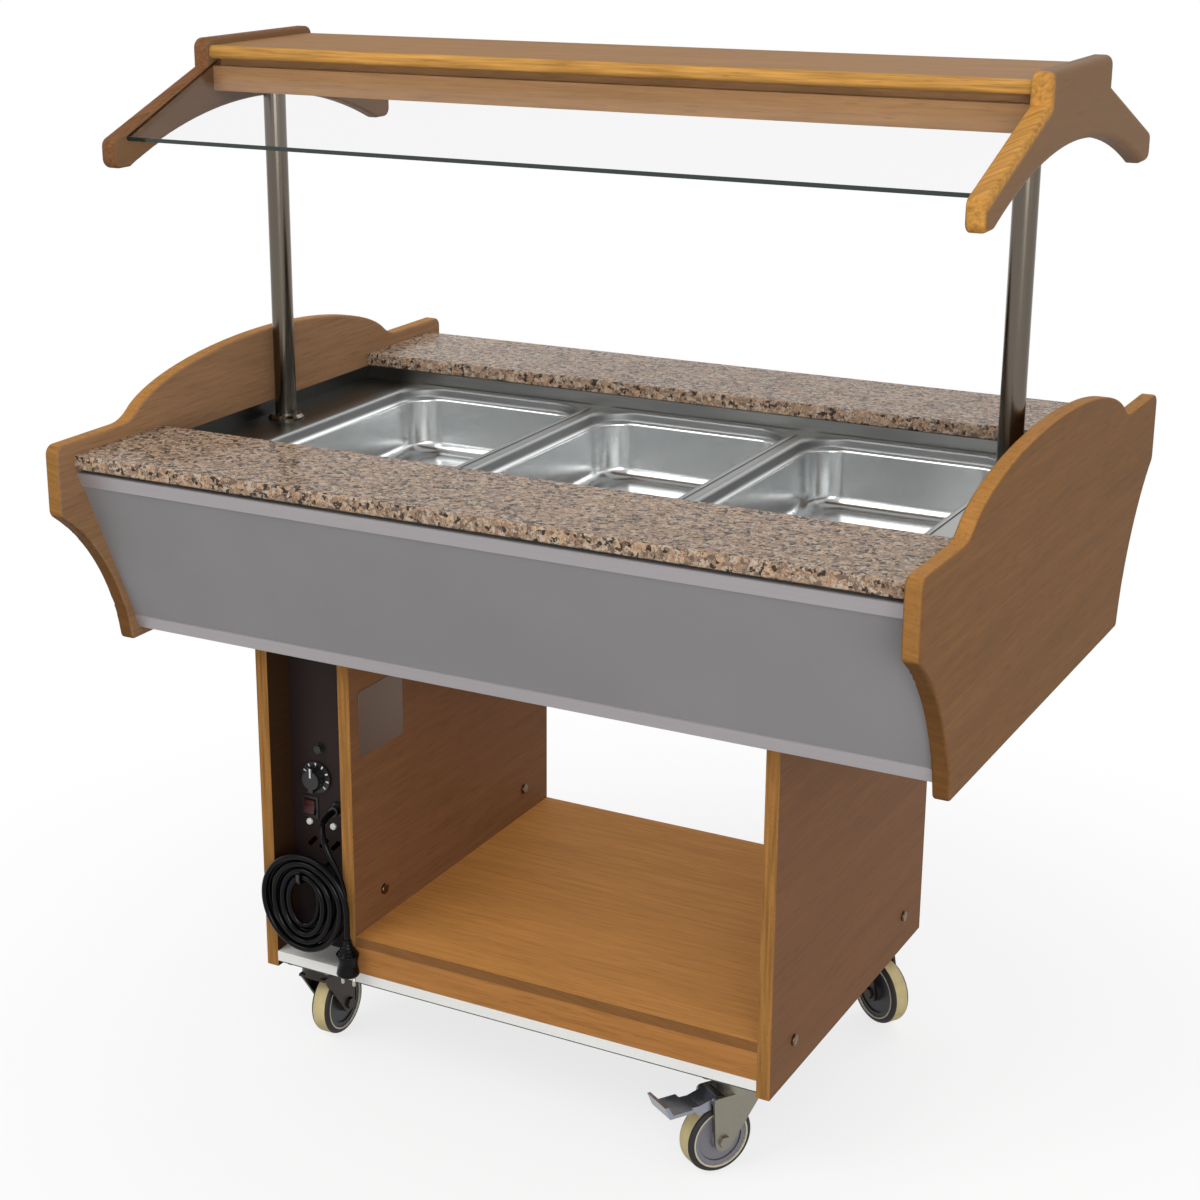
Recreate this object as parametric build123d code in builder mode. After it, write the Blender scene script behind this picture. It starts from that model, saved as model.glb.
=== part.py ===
from build123d import *

import math
import os

os.makedirs("parts", exist_ok=True)

# Hot buffet counter: oak case with granite shelves, a heated well for three pans, a glazed canopy
# on two posts, and a pedestal on casters. Origin on the floor under the middle, front towards -Y.

# Heights of the pedestal, from the floor up
caster_height = 140
base_floor_thickness = 17
plinth_height = 41
shelf_thickness = 15
base_panel_drop = 8
base_height = 510

# Pedestal plan
base_overhang = 190
base_depth = 576
base_shift = -30
base_board = 19
compartment_width = 119
plinth_board = 18
bolt_head_radius = 8
bolt_head_height = 4
bolt_shank_radius = 3
bolt_spread = 420
bolt_low_rise = 28
bolt_high_rise = 44

# Counter case
case_height = 278
counter_floor_thickness = 18
end_panel_thickness = 22
end_panel_depth = 990
end_panel_foot = 720
end_panel_drop = 16
lip_height = 97
lip_corner = 14
lip_round = 14
foot_round = 8
ogee_sagitta = 26
shoulder_rise = 19
crown_rise = 71
crown_half_width = 335
crown_ellipse_height = 80
shoulder_hollow = 60
panel_edge_round = 4

# Granite shelves and the sloped panels under them
granite_thickness = 20
granite_depth = 192
granite_edge_round = 3
shadow_gap = 5
slope_top_setback = 4
slope_foot = 684
slope_board = 16
trim_width = 22
trim_thickness = 2
bearer_thickness = 18

# Heated well
sheet = 1.2
well_upstand = 20
well_depth = 148
well_flange = 20
well_corner = 18
deck_margin = 84.5
pan_clearance = 1.5
pan_end_gap = 3
element_radius = 4.25
element_height = 15
element_runs = 4
element_pitch = 80
element_end_gap = 52
terminal_width = 30
terminal_height = 34

# Gastronorm pans
pan_width = 325
pan_length = 530
pan_count = 3
pan_spacing = 12
pan_wall = 1.0
pan_rim = 1.6
pan_rim_corner = 26
pan_rim_side = 10
pan_rim_end = 10.5
pan_neck_depth = 15
pan_neck_corner = 54
pan_step = 5
pan_depth = 100
pan_draft = 3
pan_floor_round = 16
divider_width = 26
divider_height = 20

# Posts and canopy
post_inset = 36
post_forward = 15
post_radius = 16
post_wall = 2
flange_radius = 27
flange_height = 7
flange_slope = 4
head_plate_radius = 30
head_plate_thickness = 4
canopy_rise = 514
canopy_board = 18
canopy_depth = 250
canopy_end_gap = 4
canopy_edge_round = 7
cheek_thickness = 25
cheek_rise = 10
cheek_block = 264
cheek_block_height = 38
cheek_span = 690
cheek_tip_top = 118
cheek_tip_bottom = 156
cheek_toe = 35
cheek_arch_span = cheek_span - 2 * cheek_toe
cheek_arch_height = 63
cheek_web = 93
cheek_block_round = 14
cheek_tip_round = 13
cheek_inner_round = 4
cheek_outer_round = 9
rail_board = 18
rail_setback = 9
rail_gap = 13
rail_height = 34
batten_depth = 16
glass_thickness = 6
glass_tilt = 21.9
glass_reach = 199
glass_bearing = 14
glass_let_in = 6
glass_clearance = 0.3

# Control compartment
plate_recess = 52
plate_thickness = 2
knob_drop = 226
knob_offset = -15
knob_skirt_radius = 24
knob_skirt = 3
knob_grip_radius = 15
knob_grip_height = 15
knob_draft = 4
knob_bar_width = 8
knob_gap = 1
shaft_radius = 3
shaft_clearance = 0.05
shaft_length = 12
thermostat_width = 40
thermostat_depth = 36
switch_drop = 275
switch_offset = -28
switch_width = 22
switch_height = 28
switch_body_depth = 24
bezel_thickness = 2
bezel_border = 3
rocker_rise = 4
rocker_gap = 0.6
rocker_tilt = 8
rocker_pin_radius = 1.5
rocker_pin_length = 1
lamp_drop = 299
lamp_offsets = (-30, 11)
lamp_radius = 5
lamp_body_radius = 4
lamp_height = 4
lamp_body_depth = 16
cap_drop = 180
cap_offset = -8
cap_radius = 8
cap_crown_radius = 6
cap_body_radius = 5
cap_nut_height = 3
cap_height = 9
vent_drop = 330
vent_count = 3
vent_pitch = 20
vent_length = 22
vent_width = 7
vent_offset = -7
vent_slant = 48
rear_panel_setback = 40
rear_panel_thickness = 16

# Mains cord, its gland, hook and plug
cord_diameter = 9
gland_offset = 22
gland_drop = 268
gland_nut_radius = 11
gland_nut_height = 7
gland_dome_radius = 8
gland_dome_height = 11
gland_mouth_round = 1.5
gland_shank_radius = 6
gland_shank_depth = 14
coil_centre_drop = 392
coil_offset = 0
coil_radius = 66
coil_step = 5.2
coil_in_turns = 6
coil_out_turns = 7
coil_front_gap = 3.5
coil_layer_pitch = 11
hook_radius = 3
hook_bend = 9
hook_lip = 16
hook_gap = 0.4
tail_length = 32
plug_radius = 17
plug_shoulder_radius = 15
plug_edge_round = 2
plug_neck_radius = 6
plug_neck_length = 22
plug_body_length = 34
pin_radius = 2.4
pin_length = 16
pin_spacing = 19

# Casters
wheel_diameter = 100
wheel_width = 30
wheel_bore_clearance = 0.05
hub_radius = 40
hub_rim = 7
hub_rim_width = 26
hub_web = 22
hub_boss_radius = 15
hub_boss_width = 36
tyre_round = 7
caster_trail = 36
caster_inset_y = 48
plate_gap = 3
trail_front_left = 90
trail_front_right = -122.7
trail_rear_left = 126.9
trail_rear_right = -30.0
plate_width = 84
caster_plate_thickness = 4
plate_corner = 8
kingpin_radius = 8
kingpin_head_radius = 14
kingpin_head = 5
swivel_clearance = 0.05
swivel_gap = 1
head_radius = 30
head_height = 19
head_round = 5
crown_thickness = 4
fork_leg = 4
fork_gap = 1
fork_toe = 14
fork_heel = 28
fork_nose = 34
axle_radius = 6
axle_head_radius = 9
axle_head = 4
pedal_pivot_reach = 46
pedal_pivot_height = 110
pedal_pin_radius = 3
pedal_boss_radius = 7
pedal_claw_start = 86
pedal_claw_width = 46
pedal_reach = 122
pedal_tip_height = 112
pedal_curl = 8
pedal_curl_rise = 14
pedal_shoe_reach = 72
pedal_thickness = 5
pedal_width = 32
pedal_side_gap = 1
pedal_pin_clearance = 0.05
brake_throw = 12
shoe_clearance = 0.6

# Levels worked out from the sizes above
base_floor_top = caster_height + base_floor_thickness
shelf_bottom = base_floor_top + plinth_height
shelf_top = shelf_bottom + shelf_thickness
counter_bottom = caster_height + base_height
granite_top = counter_bottom + case_height
granite_bottom = granite_top - granite_thickness
deck_top = granite_bottom - well_upstand
tank_floor = deck_top - well_depth
canopy_top = granite_top + canopy_rise
canopy_bottom = canopy_top - canopy_board

# Places worked out from the sizes above
pan_pitch = pan_width + pan_spacing
pan_neck_width = pan_width - 2 * pan_rim_side
pan_neck_length = pan_length - 2 * pan_rim_end
case_width = pan_count * pan_pitch + 2 * deck_margin
case_half = case_width / 2
granite_back = pan_length / 2 + pan_end_gap
granite_front = granite_back + granite_depth
slope_top_y = granite_front - slope_top_setback
slope_top_z = granite_bottom - shadow_gap
slope_foot_y = slope_foot / 2
pan_xs = [(place - (pan_count - 1) / 2) * pan_pitch for place in range(pan_count)]
opening_half_x = pan_xs[-1] + pan_neck_width / 2 + pan_wall + pan_clearance
opening_half_y = pan_neck_length / 2 + pan_wall + pan_clearance
base_left = base_shift - case_half + base_overhang
base_right = base_shift + case_half - base_overhang
base_front = base_depth / 2
inner_panel_left = base_left + base_board + compartment_width
inner_panel_right = inner_panel_left + base_board
compartment_x = inner_panel_left - compartment_width / 2
control_face = base_front - plate_recess
post_x = case_half - post_inset
canopy_half = case_half - canopy_end_gap
rail_front = canopy_depth / 2 - rail_setback
rail_top = canopy_bottom - rail_gap
wheel_radius = wheel_diameter / 2


def save(piece, name):
    piece.label = name
    export_step(piece, f"parts/{name}.step")


def board(x0, x1, y0, y1, z0, z1):
    """Plain rectangular board between two opposite corners."""
    with BuildPart() as plain:
        with BuildSketch(Plane.XY.offset(z0)):
            with Locations(((x0 + x1) / 2, (y0 + y1) / 2)):
                Rectangle(x1 - x0, y1 - y0)
        extrude(amount=z1 - z0)
    return plain.part


def group(pieces):
    """Several separate solids of one kind, kept as one node."""
    with BuildPart() as kind:
        for piece in pieces:
            add(piece)
    return kind.part


# End panels: ogee outline with a crowned top and rounded edges


def end_panel(inner, outward):
    front = end_panel_depth / 2
    foot = counter_bottom - end_panel_drop
    shoulder = granite_top + shoulder_rise
    crown_centre = shoulder + crown_rise - crown_ellipse_height
    notch_angle = math.degrees(math.asin((shoulder - crown_centre) / crown_ellipse_height))
    with BuildPart() as panel:
        with BuildSketch(Plane.YZ.offset(inner)) as outline:
            with BuildLine():
                sole = Line((0, foot), (-end_panel_foot / 2, foot))
                ogee = SagittaArc(sole @ 1, (-front, shoulder - lip_height), -ogee_sagitta)
                lip = Line(ogee @ 1, (-front, shoulder))
                crown = EllipticalCenterArc(
                    (0, crown_centre), crown_half_width, crown_ellipse_height, 90, arc_size=90 - notch_angle
                )
                Line(lip @ 1, crown @ 1)
                mirror(about=Plane.YZ)
            make_face()
            lips = outline.vertices().filter_by(lambda v: abs(v.X) > front - lip_round)
            fillet(lips.group_by(Axis.Y)[-1], lip_corner)
            lips = outline.vertices().filter_by(lambda v: abs(v.X) > front - lip_round)
            fillet(lips.group_by(Axis.Y)[0], lip_round)
            feet = outline.vertices().group_by(Axis.Y)[0].sort_by(Axis.X)
            fillet([feet[0], feet[-1]], foot_round)
            hollows = outline.vertices().filter_by(
                lambda v: v.Y > crown_centre and crown_half_width / 2 < abs(v.X) < crown_half_width
            )
            fillet(hollows, shoulder_hollow)
        extrude(amount=outward * end_panel_thickness)
        fillet(panel.faces().filter_by(Axis.X).edges(), panel_edge_round)
    return panel.part


save(end_panel(-case_half, -1), "end_panel_left")
save(end_panel(case_half, 1), "end_panel_right")


# Granite shelves with softened edges, lying on boards and on the flange of the well


def granite_shelf(side):
    with BuildPart() as shelf:
        with BuildSketch(Plane.YZ) as section:
            with Locations((side * (granite_front + granite_back) / 2, granite_top - granite_thickness / 2)):
                Rectangle(granite_depth, granite_thickness)
            fillet(section.vertices(), granite_edge_round)
        extrude(amount=case_half, both=True)
    return shelf.part


save(granite_shelf(-1), "granite_shelf_front")
save(granite_shelf(1), "granite_shelf_rear")

# Sloped panels between the end panels, with a trim strip along both long edges

slope_run = slope_top_y - slope_foot_y
slope_rise = slope_top_z - counter_bottom
slope_length = math.hypot(slope_run, slope_rise)
slope_board_level = slope_board * slope_length / slope_rise


def slope_point(side, along, out):
    """Point on the slope, measured down from its top edge and out from its face."""
    y = slope_top_y - along * slope_run / slope_length + out * slope_rise / slope_length
    z = slope_top_z - along * slope_rise / slope_length - out * slope_run / slope_length
    return (side * y, z)


def prism(points, half_width):
    """Outline in the YZ plane, drawn out to both sides of the middle."""
    with BuildPart() as solid:
        with BuildSketch(Plane.YZ):
            with BuildLine():
                Polyline(*points, close=True)
            make_face()
        extrude(amount=half_width, both=True)
    return solid.part


def sloped_panel(side):
    top_inside = (side * (slope_top_y - slope_board_level), slope_top_z)
    foot_inside = (side * (slope_foot_y - slope_board_level), counter_bottom)
    foot_outside = (side * slope_foot_y, counter_bottom)
    return prism([(side * slope_top_y, slope_top_z), top_inside, foot_inside, foot_outside], case_half)


def trim_strip(side, start):
    end = start + trim_width
    inside = [slope_point(side, start, 0), slope_point(side, end, 0)]
    outside = [slope_point(side, end, trim_thickness), slope_point(side, start, trim_thickness)]
    return prism(inside + outside, case_half)


save(sloped_panel(-1), "front_panel")
save(sloped_panel(1), "rear_panel")
strips = [trim_strip(side, start) for side in (-1, 1) for start in (0, slope_length - trim_width)]
save(group(strips), "panel_trims")

# Boards under the granite, each reaching from the well to the sloped board
bearer_top = granite_bottom - sheet
bearer_back = granite_back + sheet
bearer_bottom = bearer_top - bearer_thickness
bearer_front = slope_top_y - (slope_top_z - bearer_bottom) * slope_run / slope_rise - slope_board_level
front_bearer = board(-case_half, case_half, -bearer_front, -bearer_back, bearer_bottom, bearer_top)
rear_bearer = board(-case_half, case_half, bearer_back, bearer_front, bearer_bottom, bearer_top)
save(group([front_bearer, rear_bearer]), "granite_bearers")

floor_half = slope_foot_y - slope_board_level
floor_flare = counter_floor_thickness * slope_run / slope_rise
floor_top = counter_bottom + counter_floor_thickness
floor_lower = [(-floor_half, counter_bottom), (floor_half, counter_bottom)]
floor_upper = [(floor_half + floor_flare, floor_top), (-floor_half - floor_flare, floor_top)]
save(prism(floor_lower + floor_upper, case_half), "counter_floor")


# Heated well: one welded sheet trough with a deck for the pan rims, an upstand and a deep tank

with BuildPart() as well:
    with BuildSketch(Plane.XY.offset(deck_top - sheet)):
        Rectangle(case_width, 2 * (granite_back + sheet))
    extrude(amount=well_upstand + sheet)
    with BuildSketch(Plane.XY.offset(granite_bottom - sheet)):
        Rectangle(case_width, 2 * (granite_back + well_flange))
    extrude(amount=sheet)
    with BuildSketch(Plane.XY.offset(tank_floor - sheet)):
        RectangleRounded(2 * (opening_half_x + sheet), 2 * (opening_half_y + sheet), well_corner + sheet)
    extrude(amount=well_depth)
    with BuildSketch(Plane.XY.offset(deck_top)):
        Rectangle(case_width - 2 * sheet, 2 * granite_back)
    extrude(amount=well_upstand, mode=Mode.SUBTRACT)
    with BuildSketch(Plane.XY.offset(tank_floor)):
        RectangleRounded(2 * opening_half_x, 2 * opening_half_y, well_corner)
    extrude(amount=well_depth, mode=Mode.SUBTRACT)
save(well.part, "well")


def divider_bar(x):
    with BuildPart() as bar:
        with BuildSketch(Plane.XZ):
            with Locations((x, deck_top - divider_height / 2)):
                Rectangle(divider_width, divider_height)
            with Locations((x, deck_top - divider_height / 2 - sheet)):
                Rectangle(divider_width - 2 * sheet, divider_height, mode=Mode.SUBTRACT)
        extrude(amount=opening_half_y, both=True)
    return bar.part


save(group([divider_bar(x + pan_pitch / 2) for x in pan_xs[:-1]]), "divider_bars")

# Serpentine element over the tank floor, both ends at the left wall of the tank
element_ys = [(run - (element_runs - 1) / 2) * element_pitch for run in range(element_runs)]
element_reach = opening_half_x - element_end_gap
element_points = [(-opening_half_x, element_ys[0])]
for run, run_y in enumerate(element_ys[:-1]):
    turn_x = element_reach if run % 2 == 0 else -element_reach
    element_points += [(turn_x, run_y), (turn_x, element_ys[run + 1])]
element_points.append((-opening_half_x, element_ys[-1]))
element_z = tank_floor + element_height
with BuildPart() as element:
    with BuildLine(Plane.XY.offset(element_z)) as route:
        FilletPolyline(*element_points, radius=element_pitch / 2 - element_radius)
    with BuildSketch(Plane(origin=route.line @ 0, z_dir=route.line % 0)):
        Circle(element_radius)
    sweep()
save(element.part, "heating_element")

terminal_x = -opening_half_x - sheet
terminal_y = element_ys[-1] + terminal_width / 2
terminal_top = tank_floor + terminal_height
save(
    board(terminal_x - terminal_width, terminal_x, -terminal_y, terminal_y, tank_floor, terminal_top),
    "element_terminal_box",
)


# Gastronorm pans: flat rim, stacking shoulder, drafted body with a rounded floor


def pan_pocket(x, grow):
    """Hollow of a pan, grown outwards by the wall for its outside."""
    with BuildPart() as pocket:
        with BuildSketch(Plane((x, 0, deck_top + pan_rim))):
            RectangleRounded(pan_neck_width + 2 * grow, pan_neck_length + 2 * grow, pan_neck_corner + grow)
        extrude(amount=-(pan_rim + pan_neck_depth + grow))
        shoulder = deck_top - pan_neck_depth - grow
        with BuildSketch(Plane((x, 0, shoulder))):
            inset = grow - pan_step
            RectangleRounded(pan_neck_width + 2 * inset, pan_neck_length + 2 * inset, pan_neck_corner + inset)
        extrude(amount=-(pan_depth - pan_neck_depth), taper=pan_draft)
        fillet(pocket.faces().sort_by(Axis.Z)[0].edges(), pan_floor_round + grow)
    return pocket.part


def pan(x):
    with BuildPart() as tray:
        with BuildSketch(Plane((x, 0, deck_top))):
            RectangleRounded(pan_width, pan_length, pan_rim_corner)
        extrude(amount=pan_rim)
        add(pan_pocket(x, pan_wall))
        add(pan_pocket(x, 0), mode=Mode.SUBTRACT)
    return tray.part


for place, pan_x in zip(("left", "middle", "right"), pan_xs):
    save(pan(pan_x), f"pan_{place}")


# Posts on ring flanges, with head plates under the canopy

post_top = canopy_bottom - head_plate_thickness


def post(x):
    with BuildPart() as tube:
        with BuildSketch(Plane((x, -post_forward, deck_top))):
            Circle(post_radius)
            Circle(post_radius - post_wall, mode=Mode.SUBTRACT)
        extrude(amount=post_top - deck_top)
    return tube.part


def post_flange(x):
    with BuildPart() as ring:
        with BuildSketch(Plane((x, -post_forward, deck_top))):
            Circle(flange_radius)
            Circle(post_radius, mode=Mode.SUBTRACT)
        extrude(amount=flange_height)
        chamfer(ring.faces().sort_by(Axis.Z)[-1].outer_wire().edges(), flange_slope)
    return ring.part


def head_plate(x):
    with BuildPart() as plate:
        with BuildSketch(Plane((x, -post_forward, post_top))):
            Circle(head_plate_radius)
        extrude(amount=head_plate_thickness)
    return plate.part


save(group([post(-post_x), post(post_x)]), "posts")
save(group([post_flange(-post_x), post_flange(post_x)]), "post_flanges")
save(group([head_plate(-post_x), head_plate(post_x)]), "post_head_plates")


# Canopy: top board and rail between two cheeks, one sloping glass let into the cheeks

with BuildPart() as canopy:
    with BuildSketch(Plane.YZ) as section:
        with Locations((0, canopy_top - canopy_board / 2)):
            Rectangle(canopy_depth, canopy_board)
        fillet(section.vertices(), canopy_edge_round)
    extrude(amount=canopy_half, both=True)
save(canopy.part, "canopy_top")

# The rail hangs from a batten behind it, which leaves a gap in front for the upper edge of the glass
rail_bottom = rail_top - rail_height
rail_back = rail_front - rail_board
with BuildPart() as rail:
    add(board(-canopy_half, canopy_half, -rail_front, -rail_back, rail_bottom, rail_top))
    add(board(-canopy_half, canopy_half, -rail_back, batten_depth - rail_back, rail_bottom, canopy_bottom))
save(rail.part, "canopy_rail")

tilt = math.radians(glass_tilt)


def glass_outline(grow):
    """Section of the glass resting on the front edge of the rail, grown for the groove that holds it."""

    def place(down, up):
        y = -rail_front - down * math.cos(tilt) - up * math.sin(tilt)
        z = rail_top - down * math.sin(tilt) + up * math.cos(tilt)
        return (y, z)

    upper = -glass_bearing - grow
    lower = glass_reach / math.cos(tilt) + grow
    thick = glass_thickness + grow
    return [place(upper, -grow), place(lower, -grow), place(lower, thick), place(upper, thick)]


save(prism(glass_outline(0), canopy_half + glass_let_in - glass_clearance), "sneeze_glass")


def cheek(inner, outward):
    top = canopy_top + cheek_rise
    block_half = cheek_block / 2
    tip = cheek_span / 2
    arch_half = cheek_arch_span / 2
    arch_top = top - cheek_web
    arch_foot = arch_top - cheek_arch_height
    with BuildPart() as side:
        with BuildSketch(Plane.YZ.offset(inner)) as outline:
            with BuildLine():
                ridge = Polyline(
                    (0, top),
                    (-block_half, top),
                    (-block_half, top - cheek_block_height),
                    (-tip, top - cheek_tip_top),
                    (-tip, top - cheek_tip_bottom),
                    (-arch_half, arch_foot),
                )
                mirror(about=Plane.YZ)
                ThreePointArc(ridge @ 1, (0, arch_top), (arch_half, arch_foot))
            make_face()
            fillet(outline.vertices().group_by(Axis.Y)[-1], cheek_block_round)
            ends = outline.vertices().filter_by(lambda v: abs(v.X) > tip - cheek_tip_round / 2)
            fillet(ends, cheek_tip_round)
        extrude(amount=outward * cheek_thickness)
        flats = side.faces().filter_by(Axis.X).sort_by(Axis.X, reverse=outward < 0)
        fillet(flats[-1].edges(), cheek_outer_round)
        flats = side.faces().filter_by(Axis.X).sort_by(Axis.X, reverse=outward < 0)
        fillet(flats[0].edges(), cheek_inner_round)
        with BuildSketch(Plane.YZ.offset(inner)):
            with BuildLine():
                Polyline(*glass_outline(glass_clearance), close=True)
            make_face()
        extrude(amount=outward * glass_let_in, mode=Mode.SUBTRACT)
    return side.part


save(cheek(-canopy_half, -1), "canopy_cheek_left")
save(cheek(canopy_half, 1), "canopy_cheek_right")


# Pedestal: three upright panels on a base board, a storage shelf and plinth boards

low_bolt_z = base_floor_top + bolt_low_rise
high_bolt_z = shelf_top + bolt_high_rise
bolt_ys = (-bolt_spread / 2, bolt_spread / 2)


def upright(x0, bottom, bolt_z):
    """Upright panel with two bolt holes through it."""
    with BuildPart() as panel:
        add(board(x0, x0 + base_board, -base_front, base_front, bottom, counter_bottom))
        with BuildSketch(Plane.YZ.offset(x0)):
            with Locations(*[(y, bolt_z) for y in bolt_ys]):
                Circle(bolt_shank_radius + shaft_clearance)
        extrude(amount=base_board, mode=Mode.SUBTRACT)
    return panel.part


def panel_bolt(face_x, outward, y, z):
    """Button-headed bolt through an upright, its head on the given face."""
    with BuildPart() as bolt:
        with BuildSketch(Plane.YZ.offset(face_x)):
            with Locations((y, z)):
                Circle(bolt_head_radius)
        extrude(amount=outward * bolt_head_height)
        crown = bolt.faces().sort_by(Axis.X)[-1 if outward > 0 else 0]
        fillet(crown.edges(), bolt_head_height / 2)
        with BuildSketch(Plane.YZ.offset(face_x)):
            with Locations((y, z)):
                Circle(bolt_shank_radius)
        extrude(amount=-outward * base_board)
    return bolt.part


panel_foot = caster_height - base_panel_drop
save(upright(base_left, panel_foot, low_bolt_z), "base_panel_left")
save(upright(inner_panel_left, base_floor_top, high_bolt_z), "base_panel_inner")
save(upright(base_right - base_board, panel_foot, low_bolt_z), "base_panel_right")
bolts = [panel_bolt(base_left, -1, y, low_bolt_z) for y in bolt_ys]
bolts += [panel_bolt(inner_panel_right, 1, y, high_bolt_z) for y in bolt_ys]
bolts += [panel_bolt(base_right, 1, y, low_bolt_z) for y in bolt_ys]
save(group(bolts), "panel_bolts")

bay_right = base_right - base_board
save(
    board(base_left + base_board, bay_right, -base_front, base_front, caster_height, base_floor_top),
    "base_floor",
)
save(
    board(inner_panel_right, bay_right, -base_front, base_front, shelf_bottom, shelf_top),
    "storage_shelf",
)
plinth_back = base_front - plinth_board
front_plinth = board(inner_panel_right, bay_right, -base_front, -plinth_back, base_floor_top, shelf_bottom)
rear_plinth = board(inner_panel_right, bay_right, plinth_back, base_front, base_floor_top, shelf_bottom)
save(group([front_plinth, rear_plinth]), "plinth_boards")
save(
    board(
        base_left + base_board,
        inner_panel_left,
        base_front - rear_panel_setback - rear_panel_thickness,
        base_front - rear_panel_setback,
        base_floor_top,
        counter_bottom,
    ),
    "compartment_rear_panel",
)


# Control compartment: a recessed plate that carries the controls

front_plane = Plane.XZ.offset(control_face)
back_plane = Plane.XZ.offset(control_face - plate_thickness)
knob_at = (compartment_x + knob_offset, counter_bottom - knob_drop)
switch_at = (compartment_x + switch_offset, counter_bottom - switch_drop)
lamps_at = [(compartment_x + offset, counter_bottom - lamp_drop) for offset in lamp_offsets]
cap_at = (compartment_x + cap_offset, counter_bottom - cap_drop)
gland_at = (compartment_x + gland_offset, counter_bottom - gland_drop)
vents_at = (compartment_x + vent_offset, counter_bottom - vent_drop)

with BuildPart() as plate:
    with BuildSketch(front_plane):
        with Locations((compartment_x, (base_floor_top + counter_bottom) / 2)):
            Rectangle(compartment_width, counter_bottom - base_floor_top)
        with Locations(knob_at):
            Circle(shaft_radius + knob_gap, mode=Mode.SUBTRACT)
        with Locations(switch_at):
            Rectangle(switch_width, switch_height, mode=Mode.SUBTRACT)
        with Locations(*lamps_at):
            Circle(lamp_body_radius, mode=Mode.SUBTRACT)
        with Locations(cap_at):
            Circle(cap_body_radius, mode=Mode.SUBTRACT)
        with Locations(gland_at):
            Circle(gland_shank_radius, mode=Mode.SUBTRACT)
        with Locations(vents_at):
            with GridLocations(vent_pitch, 0, vent_count, 1):
                SlotOverall(vent_length, vent_width, rotation=vent_slant, mode=Mode.SUBTRACT)
    extrude(amount=-plate_thickness)
save(plate.part, "control_plate")

with BuildPart() as thermostat:
    with BuildSketch(back_plane):
        with Locations(knob_at):
            Rectangle(thermostat_width, thermostat_width)
    extrude(amount=-thermostat_depth)
    with BuildSketch(back_plane):
        with Locations(knob_at):
            Circle(shaft_radius + shaft_clearance)
    extrude(amount=-shaft_length - knob_gap, mode=Mode.SUBTRACT)
save(thermostat.part, "thermostat_body")

with BuildPart() as knob:
    with BuildSketch(front_plane.offset(knob_gap)):
        with Locations(knob_at):
            Circle(knob_skirt_radius)
    extrude(amount=knob_skirt)
    with BuildSketch(front_plane.offset(knob_gap + knob_skirt)):
        with Locations(knob_at):
            Circle(knob_grip_radius)
    extrude(amount=knob_grip_height, taper=knob_draft)
    with BuildSketch(front_plane.offset(knob_gap + knob_skirt)):
        with Locations(knob_at):
            Rectangle(knob_bar_width, 2 * knob_grip_radius + knob_bar_width)
    extrude(amount=knob_grip_height)
    with BuildSketch(front_plane.offset(knob_gap)):
        with Locations(knob_at):
            Circle(shaft_radius)
    extrude(amount=-knob_gap - plate_thickness - shaft_length)
save(knob.part, "thermostat_knob")

cavity_width = switch_width - bezel_border
cavity_height = switch_height - bezel_border
with BuildPart() as switch:
    with BuildSketch(front_plane):
        with Locations(switch_at):
            Rectangle(switch_width + 2 * bezel_border, switch_height + 2 * bezel_border)
    extrude(amount=bezel_thickness)
    with BuildSketch(front_plane):
        with Locations(switch_at):
            Rectangle(switch_width, switch_height)
    extrude(amount=-switch_body_depth)
    with BuildSketch(front_plane.offset(bezel_thickness)):
        with Locations(switch_at):
            Rectangle(cavity_width, cavity_height)
    extrude(amount=-bezel_thickness - cavity_height / 2, mode=Mode.SUBTRACT)
    with BuildSketch(Plane.YZ.offset(switch_at[0])):
        with Locations((-control_face, switch_at[1])):
            Circle(rocker_pin_radius + shaft_clearance)
    extrude(amount=cavity_width / 2 + rocker_pin_length, both=True, mode=Mode.SUBTRACT)
save(switch.part, "switch_housing")

rocker_radius = cavity_height / 2 - rocker_gap
rocker_axis = Axis((switch_at[0], -control_face, switch_at[1]), (1, 0, 0))
rocker_front = control_face + bezel_thickness + rocker_rise
with BuildPart() as rocker:
    with BuildSketch(Plane.YZ.offset(switch_at[0])):
        with BuildLine():
            dished = Polyline(
                (-control_face, switch_at[1] - rocker_radius),
                (-rocker_front, switch_at[1] - rocker_radius + rocker_rise / 2),
                (-rocker_front + rocker_rise / 2, switch_at[1]),
                (-rocker_front, switch_at[1] + rocker_radius - rocker_rise / 2),
                (-control_face, switch_at[1] + rocker_radius),
            )
            ThreePointArc(dished @ 1, (rocker_radius - control_face, switch_at[1]), dished @ 0)
        make_face()
    extrude(amount=cavity_width / 2 - rocker_gap, both=True)
    with BuildSketch(Plane.YZ.offset(switch_at[0])):
        with Locations((-control_face, switch_at[1])):
            Circle(rocker_pin_radius)
    extrude(amount=cavity_width / 2 + rocker_pin_length - rocker_gap, both=True)
save(rocker.part.rotate(rocker_axis, -rocker_tilt), "switch_rocker")


def lamp(at):
    with BuildPart() as lens:
        with BuildSketch(front_plane):
            with Locations(at):
                Circle(lamp_radius)
        extrude(amount=lamp_height)
        fillet(lens.faces().sort_by(Axis.Y)[0].edges(), lamp_height / 2)
        with BuildSketch(front_plane):
            with Locations(at):
                Circle(lamp_body_radius)
        extrude(amount=-lamp_body_depth)
    return lens.part


save(group([lamp(at) for at in lamps_at]), "pilot_lamps")

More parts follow.
